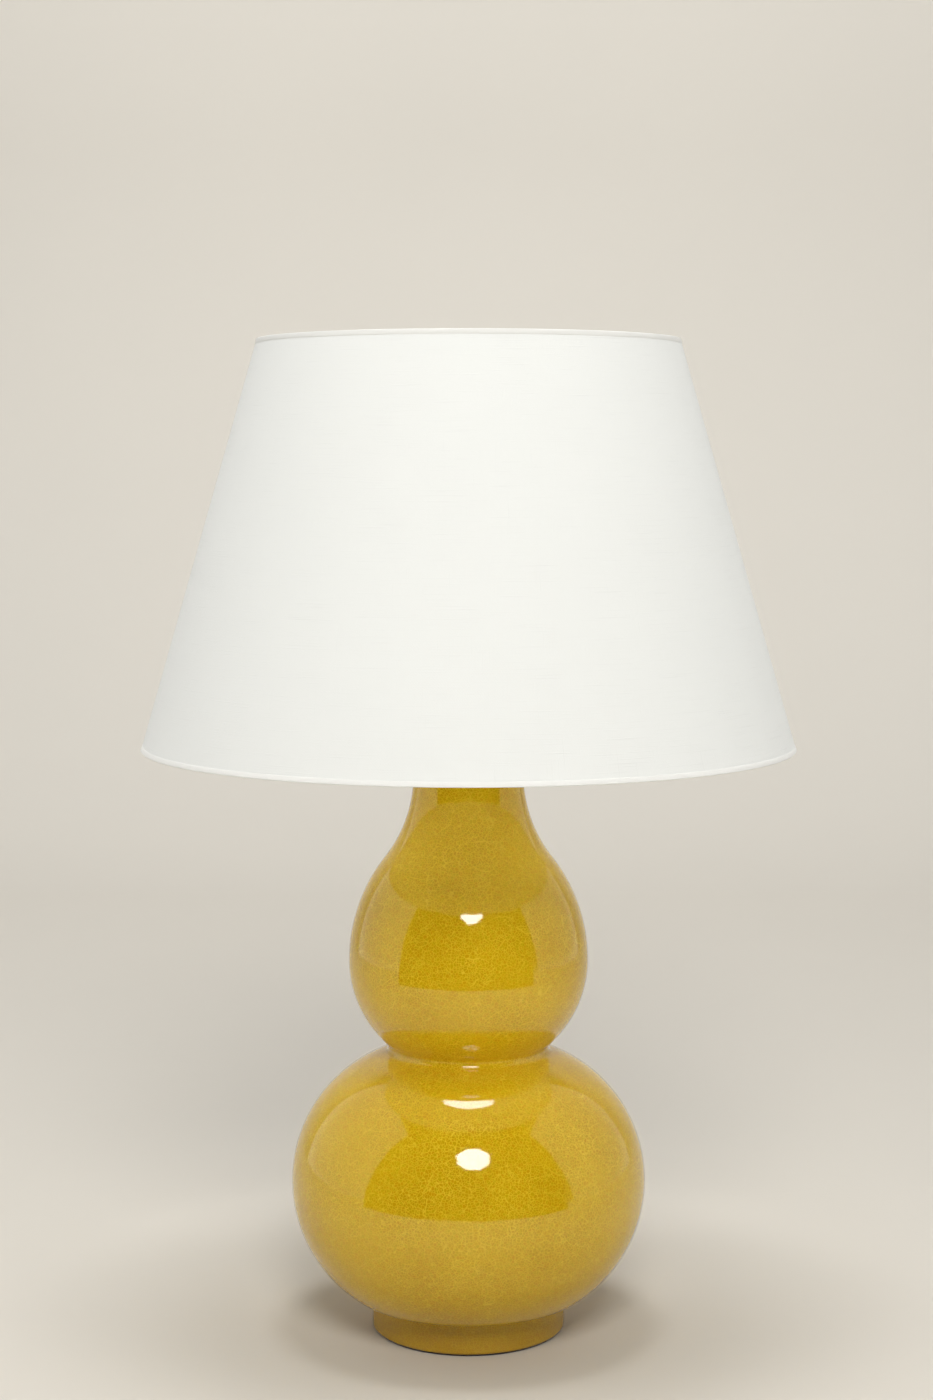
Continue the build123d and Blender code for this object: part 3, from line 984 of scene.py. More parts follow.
@dataclass(frozen=True)
class Felt(Finish):
    """Pressed wool felt.

    Attributes:
        pale: Colour factor of the palest fibres.
        nap: Depth of the fibres in metres.
    """

    pale: float = 1.9
    nap: float = 0.00025

    def paint(self, sheet: Sheet) -> None:
        """Matted fibres in two sizes.

        Args:
            sheet: The sheet that it is laid on.
        """
        where = sheet.drifted(scale=240.0, reach=0.003)
        fibres = sheet.noise(scale=2600.0, detail=5.0, rough=0.75, where=where)
        height = sheet.math(Sum.TIMES_PLUS, sheet.noise(scale=260.0, detail=3.0), 0.5, fibres)
        sheet.set(Base_Color=self.tinted(sheet, fibres, self.pale), Sheen_Weight=0.35,
                  Sheen_Roughness=0.6)
        sheet.relief(height, self.nap)


@dataclass(frozen=True)
class Woven(Finish):
    """Plain-weave cloth laid out by its own coordinates.

    Attributes:
        thread: Width of a thread in metres.
        slub: Strength of the thick places in the threads.
        weave: Depth of the weave in metres.
        dark: Colour factor of the darkest places.
    """

    thread: float = 0.00042
    slub: float = 0.5
    weave: float = 0.00010
    dark: float = 0.90

    def paint(self, sheet: Sheet) -> None:
        """Threads over and under each other, with slubs along both ways.

        Args:
            sheet: The sheet that it is laid on.
        """
        cloth = sheet.node("ShaderNodeUVMap", uv_map=CLOTH).outputs[0]
        crossing = self.crossing(sheet, cloth)
        rows, columns = (
            sheet.noise(scale=1.0, detail=3.0, rough=0.6, where=sheet.drawn_out(stretch, cloth))
            for stretch in ((22.0, 1500.0, 1.0), (1500.0, 26.0, 1.0))
        )
        slubs = sheet.math(Sum.MOST, sheet.step(rows, low=0.56, high=0.76),
                           sheet.step(columns, low=0.60, high=0.80))
        patches = sheet.noise(scale=9.0, detail=3.0, where=cloth)
        share = sheet.math(Sum.TIMES_PLUS, slubs, self.slub, sheet.math(Sum.TIMES, crossing, 0.18))
        share = sheet.math(Sum.TIMES_PLUS, patches, 0.25, share)
        sheet.set(Base_Color=self.tinted(sheet, share, self.dark), Specular_IOR_Level=0.25,
                  Sheen_Weight=0.15, Sheen_Roughness=0.5)
        sheet.relief(sheet.math(Sum.TIMES_PLUS, slubs, 0.8, crossing), self.weave)

    def crossing(self, sheet: Sheet, cloth: Socket) -> Socket:
        """The height of threads that pass over and under each other.

        Args:
            sheet: The sheet.
            cloth: Coordinates in metres along the threads.

        Returns:
            The height, from 0 to 1.
        """
        ways = sheet.node("ShaderNodeSeparateXYZ")
        sheet.feed(cloth, ways.inputs[0])
        sway = sheet.math(Sum.TIMES, sheet.noise(scale=90.0, where=cloth), 0.0006)
        pitch = math.pi / self.thread
        warp, weft = (
            sheet.math(Sum.SINE, sheet.math(Sum.TIMES, sheet.math(Sum.ADD, way, sway), pitch))
            for way in (ways.outputs[0], ways.outputs[1])
        )
        return sheet.math(Sum.TIMES_PLUS, sheet.math(Sum.TIMES, warp, weft), 0.5, 0.5)


@dataclass(frozen=True)
class Film(Finish):
    """The laminating film inside the shade.

    Attributes:
        wave: Colour factor on the waves.
        print_through: Depth of the cloth's print-through in metres.
    """

    wave: float = 0.96
    print_through: float = 0.00003

    def paint(self, sheet: Sheet) -> None:
        """A faint print-through of the cloth and shallow waves.

        Args:
            sheet: The sheet that it is laid on.
        """
        cloth = sheet.node("ShaderNodeUVMap", uv_map=CLOTH).outputs[0]
        dimples = sheet.noise(scale=1400.0, where=cloth)
        waves = sheet.noise(scale=14.0, where=cloth)
        sheet.set(Base_Color=self.tinted(sheet, sheet.step(waves, low=0.35, high=0.7), self.wave),
                  Roughness=self.uneven(sheet, dimples, 0.2))
        sheet.relief(sheet.math(Sum.TIMES_PLUS, waves, 6.0, dimples), self.print_through)


GLAZE = CrackleGlaze(Slot.GLAZE, (0.665, 0.405, 0.004), 0.06)
FELT = Felt(Slot.FELT, (0.020, 0.013, 0.010), 0.95)
RUBBER = Moulded(Slot.RUBBER, (0.03, 0.03, 0.03), 0.62)
ZINC = Metal(Slot.ZINC, (0.62, 0.62, 0.60), 0.34)
BRASS = Metal(Slot.BRASS, (0.72, 0.53, 0.25), 0.27)
PORCELAIN = Porcelain(Slot.PORCELAIN, (0.86, 0.84, 0.79), 0.55)
BRONZE = Metal(Slot.BRONZE, (0.68, 0.50, 0.30), 0.30)
RESIN = Moulded(Slot.RESIN, (0.05, 0.035, 0.03), 0.34, grain=0.000008, bloom=1.25)
SOLDER = Metal(Slot.SOLDER, (0.55, 0.55, 0.56), 0.38, lay=(500.0, 500.0, 500.0))
BLACK_GLASS = Glass(Slot.BLACK_GLASS, (0.02, 0.02, 0.025), 0.10)
CAP = Metal(Slot.CAP, (0.75, 0.75, 0.76), 0.30, patina=0.85)
OPAL = Glass(Slot.OPAL, (0.95, 0.94, 0.90), 0.16, milk=0.6)
CLEAR = Glass(Slot.CLEAR, (0.95, 0.97, 0.97), 0.03, through=1.0)
LEAD = Metal(Slot.LEAD, (0.5, 0.5, 0.5), 0.32)
CARRIER_BRASS = Metal(Slot.CARRIER_BRASS, (0.74, 0.60, 0.34), 0.24, lay=(1400.0, 1400.0, 1400.0))
ENAMEL = Enamel(Slot.ENAMEL, (0.86, 0.85, 0.82), 0.28)
NYLON = Moulded(Slot.NYLON, (0.88, 0.87, 0.83), 0.42, grain=0.00001, bloom=0.94)
LINER = Film(Slot.LINER, (0.90, 0.89, 0.85), 0.45)
LINEN = Woven(Slot.LINEN, (0.905, 0.918, 0.89), 0.85)
TAPE = Woven(Slot.TAPE, (0.90, 0.90, 0.865), 0.88, thread=0.0005, slub=0.2)


# ---------------------------------------------------------------- assemblies


@dataclass
class Assembly:
    """A sub-assembly of the lamp.

    Attributes:
    """

    frame: dict

    def dress(self, piece: bpy.types.Object, finish: Finish, body: Body,
              *nodes: str) -> bpy.types.Object:
        """Finish a piece, put it on its body and report it.

        Args:
            piece: The piece.
            finish: Its finish.
            body: What it moves with.
            *nodes: The frame's nodes that it stands for.

        Returns:
            The piece.
        """
        piece.data.materials.clear()
        piece.data.materials.append(finish.material())
        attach(piece, body.value)
        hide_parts(*nodes)
        LOG.info("%s: %s, %d faces", piece.name, finish.slot.value, len(piece.data.polygons))
        return piece

    def repaint(self, finish: Finish, *nodes: str) -> None:
        """Give nodes of the frame that stay as they are a better finish.

        Args:
            finish: The finish.
            *nodes: Names of the nodes.
        """
        for name in nodes:
            for holder in self.frame["nodes"][name].material_slots:
                holder.material = finish.material()
            LOG.info("%s: kept, %s", name, finish.slot.value)


@dataclass
class GourdBase(Assembly):
    """The glazed body, its felt and the cord inlet."""

    felt: float = 1.4
    felt_inset: float = 2.3
    wall: float = 6.0
    foot_radius: float = 67.8
    foot_height: float = 24.5
    foot_wall: float = 7.0
    foot_edge: float = 2.2
    foot_root: float = 3.0
    turn_round: float = 25.0
    belly_radius: float = 124.0
    belly_rise: float = 81.5
    belly_round: float = 96.0
    waist_radius: float = 51.6
    waist_round: float = 4.0
    bulb_radius: float = 83.5
    bulb_rise: float = 156.0
    bulb_high_round: float = 116.0
    neck_radius: float = 38.3
    neck_round: float = 95.0
    neck_rise: float = 150.0
    lip_round: float = 1.5
    rod_hole: float = 6.5
    inlet_height: float = 12.5
    inlet_bore: float = 4.0
    inlet_body: float = 6.0
    inlet_flange: float = 8.5
    inlet_flange_thickness: float = 2.0
    inlet_play: float = 0.05

    def build(self) -> None:
        """Make and dress every piece of the base."""
        self.dress(self.gourd(), GLAZE, Body.LAMP, "gourd_body")
        self.dress(self.felt_pad(), FELT, Body.LAMP, "base_felt")
        self.dress(self.bush(), RUBBER, Body.LAMP, "cord_inlet_bush")
        self.repaint(ZINC, "tie_rod", "floor_washer", "floor_nut")
        self.repaint(RUBBER, "floor_gasket")

    def side(self, start: Point, inset: float, fine: float) -> list[Point]:
        """The two bulbs and the neck as one line of tangent arcs.

        Args:
            start: First point, on the turn under the lower bulb.
            inset: How far the line lies inside the glazed face.
            fine: Chords in a quarter turn of the bulbs.

        Returns:
            Points from the underside to the lip.
        """
        belly = (self.belly_radius - self.belly_round, self.foot_height + self.belly_rise)
        high_z = belly[1] + self.bulb_rise
        run = self.bulb_radius - self.waist_radius
        waist_rise = math.sqrt(self.belly_round**2 - (self.waist_radius - belly[0]) ** 2)
        drop = high_z - belly[1] - waist_rise
        low_round = (run**2 + drop**2) / (2 * run)
        low = (self.bulb_radius - low_round, high_z)
        high = (self.bulb_radius - self.bulb_high_round, high_z)
        neck_r = self.neck_radius + self.neck_round
        sweep = math.sqrt((self.bulb_high_round + self.neck_round) ** 2 - (neck_r - high[0]) ** 2)
        neck = (neck_r, high_z + sweep)
        waist = self.crossing(belly, self.belly_round + self.waist_round,
                              low, low_round + self.waist_round)
        turn = self.turn_centre(belly)
        turn_end = toward(belly, turn, self.belly_round - inset)
        waist_start = toward(belly, waist, self.belly_round - inset)
        waist_end = toward(low, waist, low_round - inset)
        widest = (self.bulb_radius - inset, high_z)
        sweep_start = toward(high, neck, self.bulb_high_round - inset)
        top = self.lip_top - self.lip_round
        lip = (neck[0] - math.sqrt((self.neck_round + inset) ** 2 - (top - neck[1]) ** 2), top)
        steps = [max(4, int(fine * share)) for share in (0.6, 2.0, 0.35, 0.8, 0.9, 1.0)]
        line: list[Point] = []
        for centre, begin, end, count in (
            (turn, start, turn_end, steps[0]),
            (belly, turn_end, waist_start, steps[1]),
            (waist, waist_start, waist_end, steps[2]),
            (low, waist_end, widest, steps[3]),
            (high, widest, sweep_start, steps[4]),
            (neck, sweep_start, lip, steps[5]),
        ):
            line += arc(centre, begin, end, count)[:-1]
        line.append(lip)
        return line

    @property
    def lip_top(self) -> float:
        """Height of the lip."""
        return self.foot_height + self.belly_rise + self.bulb_rise + self.neck_rise

    @staticmethod
    def crossing(first: Point, first_reach: float, second: Point, second_reach: float) -> Point:
        """The outer point at two given distances from two centres.

        Args:
            first: First centre.
            first_reach: Distance from it.
            second: Second centre.
            second_reach: Distance from that.

        Returns:
            The point.
        """
        across = math.dist(first, second)
        along = (first_reach**2 - second_reach**2 + across**2) / (2 * across)
        aside = math.sqrt(first_reach**2 - along**2)
        run = ((second[0] - first[0]) / across, (second[1] - first[1]) / across)
        return (first[0] + run[0] * along + run[1] * aside,
                first[1] + run[1] * along - run[0] * aside)

    def turn_centre(self, belly: Point) -> Point:
        """Centre of the turn from the lower bulb's side to its underside.

        Args:
            belly: Centre of the lower bulb's round.

        Returns:
            The centre.
        """
        height = self.foot_height + self.turn_round
        reach = math.sqrt((self.belly_round - self.turn_round) ** 2 - (belly[1] - height) ** 2)
        return (belly[0] + reach, height)

    def gourd(self) -> bpy.types.Object:
        """The hollow glazed body with its foot ring and the hole for the cord inlet.

        Returns:
            The body.
        """
        belly = (self.belly_radius - self.belly_round, self.foot_height + self.belly_rise)
        turn = self.turn_centre(belly)
        root_r = self.foot_radius + self.foot_root
        reach = self.turn_round + self.foot_root
        root_z = turn[1] - math.sqrt(reach**2 - (root_r - turn[0]) ** 2)
        root_end = toward(turn, (root_r, root_z), self.turn_round)
        inner = self.foot_radius - self.foot_wall
        edge, lip = self.foot_edge, self.lip_round
        floor = self.foot_height + self.wall
        high = self.felt + edge
        line = arc((self.foot_radius - edge, high), (self.foot_radius - edge, self.felt),
                   (self.foot_radius, high), 8)
        line += [(self.foot_radius, high + step * 2.2) for step in range(1, 5)]
        line += arc((root_r, root_z), (self.foot_radius, root_z), root_end, 14)[:-1]
        outside = self.side(root_end, 0.0, 48)
        inside = self.side((turn[0], floor), self.wall, 14)
        line += outside
        for (r, z), way in ((outside[-1], -1), (inside[-1], 1)):
            bead = arc((r + way * lip, z), (r, z), (r + way * lip, z + lip), 6)
            line += bead[1:] if way < 0 else bead[::-1][:-1]
        line += inside[::-1]
        line += eased([(self.rod_hole, floor, 0.8), (self.rod_hole, self.foot_height, 0.8),
                       (inner, self.foot_height, 2.0), (inner, self.felt, 2.0),
                       (self.foot_radius - edge, self.felt, 0.0)])[:-1]
        body = turned("gourd", line, 224)
        hole = drill(self.inlet_body + self.inlet_play, self.foot_wall * 4, Aim.BACK,
                     (0.0, inner - self.foot_wall, self.inlet_height))
        cut(body, [hole])
        return body

    def felt_pad(self) -> bpy.types.Object:
        """A felt disc with a soft edge and a slightly uneven rim.

        Returns:
            The disc.
        """
        radius = self.foot_radius - self.felt_inset

        def section(angle: float) -> list[Point]:
            """The disc's half section at an angle.

            Args:
                angle: Angle about the axis.

            Returns:
                The points of the section.
            """
            rim = radius - 0.12 + 0.10 * math.sin(31 * angle) * math.sin(7 * angle + 1)
            return [(0.0, 0.0), (rim * 0.5, 0.0), (rim - 0.5, 0.0), (rim - 0.12, 0.15), (rim, 0.5),
                    (rim, self.felt - 0.4), (rim - 0.15, self.felt - 0.05), (rim * 0.5, self.felt),
                    (0.0, self.felt)]

        return turned("felt_pad", section, 256, closed=False, sharp=50.0)

    def bush(self) -> bpy.types.Object:
        """A grommet through the foot ring, with its outer flange lying on the glaze.

        Returns:
            The grommet.
        """
        inner_r = self.foot_radius - self.foot_wall
        seat = math.sqrt(inner_r**2 - self.inlet_flange**2)
        lip = self.inlet_flange_thickness
        far = self.foot_radius
        line = eased([
            (self.inlet_bore, seat - lip, 0.6), (self.inlet_flange, seat - lip, 0.5),
            (self.inlet_flange, seat, 0.3), (self.inlet_body, seat, 0.0),
            (self.inlet_body, far, 0.0), (self.inlet_flange, far, 0.0),
            (self.inlet_flange, far + lip * 0.55, 0.9),
            (self.inlet_body - 0.4, far + lip, 0.5), (self.inlet_bore, far + lip, 0.8),
        ], 5)
        grommet = turned("cord_bush", line, 96, aim=Aim.BACK, at=(0.0, 0.0, self.inlet_height))
        for vertex in grommet.data.vertices:
            if abs(vertex.co.y / MM - far) < 0.01:
                vertex.co.y = math.sqrt((far * MM) ** 2 - vertex.co.x**2)
        return grommet


@dataclass
class NeckFittings(Assembly):
    """The brass cap in the neck, the riser and its lock nut."""

    lip: float = 412.0
    seal: float = 1.0
    cap_radius: float = 39.0
    cap_sheet: float = 1.2
    cap_rise: float = 11.0
    cap_seat: float = 10.0
    spigot: float = 32.36
    spigot_depth: float = 8.0
    bore: float = 5.08
    riser_radius: float = 8.0
    riser_length: float = 20.0
    bead: float = 1.4
    nut_across: float = 14.0
    nut_height: float = 4.0

    def build(self) -> None:
        """Make and dress the fittings."""
        self.repaint(RUBBER, "neck_gasket")
        self.dress(self.cap(), BRASS, Body.LAMP, "neck_cap")
        self.dress(self.riser(), BRASS, Body.LAMP, "riser")
        top = self.lip + self.seal + self.cap_rise + self.riser_length
        nut = hex_nut("riser_nut", top, self.nut_height, self.nut_across, self.bore)
        self.dress(nut, BRASS, Body.LAMP, "lock_nut")

    def cap(self) -> bpy.types.Object:
        """A spun cap: rolled flange, cone and spigot.

        Returns:
            The cap.
        """
        base, sheet = self.lip + self.seal, self.cap_sheet
        top = base + self.cap_rise
        slope = (self.cap_rise - sheet) / (self.spigot - self.cap_seat)
        inner = self.spigot - sheet
        line = eased([
            (self.cap_radius, base, 0.55), (self.cap_radius, base + sheet, 0.55),
            (self.spigot, base + sheet, 2.5), (self.cap_seat, top, 4.0), (self.bore, top, 0.2),
            (self.bore, top - sheet, 0.2), (self.cap_seat, top - sheet, 3.0),
            (inner, base + sheet * slope, 1.5), (inner, self.lip - self.spigot_depth, 0.4),
            (self.spigot, self.lip - self.spigot_depth, 0.4), (self.spigot, base, 0.5),
        ], 8)
        return turned("neck_cap_spun", line, 160)

    def riser(self) -> bpy.types.Object:
        """A turned spacer with a round collar and a cut line at each end.

        Returns:
            The spacer.
        """
        foot = self.lip + self.seal + self.cap_rise
        top, r, bead = foot + self.riser_length, self.riser_radius, self.bead
        line: list[Point] = [(self.bore, foot)]
        low = [(r + bead * math.cos(a), foot + bead + bead * math.sin(a))
               for a in [math.pi * (i / 12 - 0.5) for i in range(13)]]
        line += low
        line += eased([(r - 0.5, foot + 2 * bead + 0.3, 0.2), (r, foot + 2 * bead + 0.9, 0.3),
                       (r - 0.7, (foot + top) / 2, 30.0), (r, top - 2 * bead - 0.9, 0.3),
                       (r - 0.5, top - 2 * bead - 0.3, 0.2)], 6)
        line += [(x, foot + top - z) for x, z in reversed(low)]
        line.append((self.bore, top))
        return turned("riser_turned", line, 96)


def hex_nut(name: str, base: float, height: float, across: float, bore: float) -> bpy.types.Object:
    """A hexagon nut with both faces chamfered and a countersunk bore.

    Args:
        name: Name of the piece.
        base: Height of its lower face.
        height: Its thickness.
        across: Width across the flats.
        bore: Radius of the hole.

    Returns:
        The nut.
    """
    face = across / 2 * 0.97

    def section(angle: float) -> list[Point]:
        """The nut's half section at an angle.

        Args:
            angle: Angle about the axis.

        Returns:
            The points of the section.
        """
        flat = across / 2 / math.cos((angle + math.pi / 6) % (math.pi / 3) - math.pi / 6)
        rises = [0.0, 0.25, 0.5, 0.75, 1.0, 1.3]
        low = [(min(flat, face + rise * 1.6), base + rise) for rise in rises]
        high = [(r, 2 * base + height - z) for r, z in reversed(low)]
        return [(bore, base + 0.5), (bore + 0.5, base), *low, *high,
                (bore + 0.5, base + height), (bore, base + height - 0.5)]

    return turned(name, section, 144, sharp=25.0)


@dataclass
class Lampholder(Assembly):
    """The brass lampholder with its push bar and threaded shade ring."""

    entry_base: float = 448.0
    entry_length: float = 5.0
    entry_radius: float = 8.0
    radius: float = 19.0
    sheet: float = 1.0
    bore: float = 5.08
    dome_centre: float = 470.234
    wall_top: float = 484.0
    body_length: float = 33.0
    mouth: float = 15.2
    flange: float = 22.0
    flange_rise: float = 3.0
    flange_sheet: float = 1.5
    thread_pitch: float = 1.5
    thread_depth: float = 0.45
    ring_base: float = 490.1
    ring_height: float = 5.0
    ring_radius: float = 24.0
    ring_bore: float = 19.08
    flutes: int = 24
    shell_base: float = 486.034
    shell_length: float = 28.0
    shell_radius: float = 13.33
    shell_sheet: float = 0.5
    shell_floor: float = 8.0
    bar_radius: float = 2.5
    bar_play: float = 0.08
    bar_height: float = 477.134
    bar_left: float = -30.0
    bar_right: float = 25.0

    def build(self) -> None:
        """Make and dress the lampholder."""
        self.dress(self.cap(), BRASS, Body.LAMP, "holder_cap")
        self.dress(self.barrel(), BRASS, Body.LAMP, "holder_body")
        self.dress(self.shade_ring(), BRASS, Body.LAMP, "shade_ring")
        self.dress(self.shell(), BRONZE, Body.LAMP, "screw_shell")
        self.dress(self.push_bar(), RESIN, Body.SWITCH, "switch_bar")
        self.repaint(PORCELAIN, "terminal_block")
        self.repaint(BRASS, "terminal_screws")
        self.repaint(BRONZE, "centre_contact")
        self.repaint(RESIN, "insulating_sleeve")

    def cap(self) -> bpy.types.Object:
        """The domed lower half, with a rolled bead at its rim and holes for the bar.

        Returns:
            The lower half.
        """
        centre = (0.0, self.dome_centre)
        top = self.entry_base + self.entry_length
        inner_r = self.entry_radius - self.sheet
        inner_z = self.dome_centre - math.sqrt((self.radius - self.sheet) ** 2 - inner_r**2)
        line = [(self.bore, top), (self.bore, self.entry_base)]
        line += eased([(self.bore, self.entry_base, 0), (self.entry_radius, self.entry_base, 0.5),
                       (self.entry_radius, top, 0)])[1:-1]
        line += arc(centre, (self.entry_radius, top), (self.radius, self.dome_centre), 20)
        bead = self.wall_top - 3.2
        line += [(self.radius, bead - 1.2)]
        line += [(self.radius + 0.5 * math.sin(math.pi * i / 8), bead - 0.9 + 1.8 * i / 8)
                 for i in range(9)]
        inside = self.radius - self.sheet
        line += eased([(self.radius, bead + 1.4, 0), (self.radius, self.wall_top, 0.25),
                       (inside, self.wall_top, 0.25), (inside, self.dome_centre, 0)])
        line += arc(centre, (inside, self.dome_centre), (inner_r, inner_z), 12)[1:]
        line += [(inner_r, top)]
        shell = turned("holder_cap_spun", line, 128)
        cut(shell, [drill(self.bar_radius + self.bar_play, self.radius * 4, Aim.RIGHT,
                          (-self.radius * 2, 0.0, self.bar_height))])
        return shell

    def barrel(self) -> bpy.types.Object:
        """The upper half, with its flange, its outside thread and a turned-in mouth.

        Returns:
            The upper half.
        """
        base, top = self.wall_top, self.wall_top + self.body_length
        flange = base + self.flange_rise
        start, stop = flange + self.flange_sheet + 0.8, top - 2.2

        def section(angle: float) -> list[Point]:
            """The barrel's section at an angle.

            Args:
                angle: Angle about the axis.

            Returns:
                The points of the section.
            """
            inner = self.radius - self.sheet
            over = flange + self.flange_sheet
            line = eased([(inner, base, 0.2), (self.radius, base, 0.2), (self.radius, flange, 0.3),
                          (self.flange, flange, 0.5), (self.flange, over, 0.5),
                          (self.radius, over, 0.3), (self.radius, start, 0)], 3)[:-1]
            steps = int((stop - start) / self.thread_pitch * 8)
            for i in range(steps + 1):
                z = start + (stop - start) * i / steps
                ease = min(1.0, (z - start) / 1.5, (stop - z) / 1.5)
                wave = 0.5 - 0.5 * math.cos(math.tau * z / self.thread_pitch - angle)
                line.append((self.radius - self.thread_depth * wave * max(ease, 0.0), z))
            line += eased([(self.radius, stop, 0), (self.radius, top, 0.9), (self.mouth, top, 0.4),
                           (self.mouth, top - self.sheet, 0.4), (inner, top - self.sheet, 0.6),
                           (inner, base, 0)], 4)[1:-1]
            return line

        return turned("holder_barrel", section, 96, sharp=50.0)

    def shade_ring(self) -> bpy.types.Object:
        """The fluted ring that clamps the carrier, with a turned groove in its top.

        Returns:
            The ring.
        """
        base, top = self.ring_base, self.ring_base + self.ring_height

        def section(angle: float) -> list[Point]:
            """The ring's section at an angle.

            Args:
                angle: Angle about the axis.

            Returns:
                The points of the section.
            """
            across = (angle * self.flutes / math.tau + 0.5) % 1.0 - 0.5
            dip = max(0.0, 1.0 - (across / 0.16) ** 2) ** 0.5
            rim = self.ring_radius - 1.0 * dip
            return eased([(self.ring_bore, base, 0.3), (rim, base, 0.45), (rim, top, 0.7),
                          (self.ring_radius - 1.9, top, 0.2),
                          (self.ring_radius - 2.3, top - 0.4, 0.2),
                          (self.ring_radius - 2.7, top, 0.2), (self.ring_bore, top, 0.4)], 3)

        return turned("shade_ring_fluted", section, self.flutes * 12, sharp=50.0)

    def shell(self) -> bpy.types.Object:
        """The rolled screw shell that takes the bulb's cap.

        Returns:
            The shell.
        """
        floor, top = self.shell_base, self.shell_base + self.shell_length
        thread = CapThread()

        def section(angle: float) -> list[Point]:
            """The shell's section at an angle.

            Args:
                angle: Angle about the axis.

            Returns:
                The points of the section.
            """
            line: list[Point] = [(self.shell_floor, floor)]
            rows = 100
            heights = [floor + 2.0 + (top - floor - 2.5) * i / rows for i in range(rows + 1)]
            inside = [(thread.radius(z, angle) + thread.play, z) for z in heights]
            outside = [(r + self.shell_sheet, z) for r, z in inside]
            line += [(inside[0][0] + self.shell_sheet - 0.8, floor), (outside[0][0], floor + 0.8)]
            line += outside
            line += [(self.shell_radius + self.shell_sheet, top), (self.shell_radius, top)]
            line += inside[::-1]
            over = floor + self.shell_sheet
            line += [(inside[0][0] - 0.6, over), (self.shell_floor, over)]
            return line

        return turned("screw_shell_rolled", section, 72, sharp=60.0)

    def push_bar(self) -> bpy.types.Object:
        """The moulded push bar with swelling, domed ends.

        Returns:
            The bar.
        """
        r, length = self.bar_radius, self.bar_right - self.bar_left
        end = [(0.0, 0.0), (r * 0.35, 0.05), (r * 0.65, 0.22), (r * 0.86, 0.55),
               (r * 0.97, 1.0), (r, 1.5)]
        line = end + [(r, 4.0), (r, length / 2), (r, length - 4.0)]
        line += [(x, length - z) for x, z in reversed(end)]
        return turned("push_bar", line, 48, closed=False, aim=Aim.RIGHT,
                      at=(self.bar_left, 0.0, self.bar_height), sharp=60.0)


@dataclass(frozen=True)
class CapThread:
    """The round screw thread that the bulb's cap and its shell share."""

    crest: float = 13.25
    depth: float = 0.75
    pitch: float = 3.63
    play: float = 0.08

    def radius(self, height: float, angle: float) -> float:
        """Radius of the cap's face at a height and an angle."""
        wave = 0.5 - 0.5 * math.cos(math.tau * height / self.pitch - angle)
        return self.crest - self.depth * wave


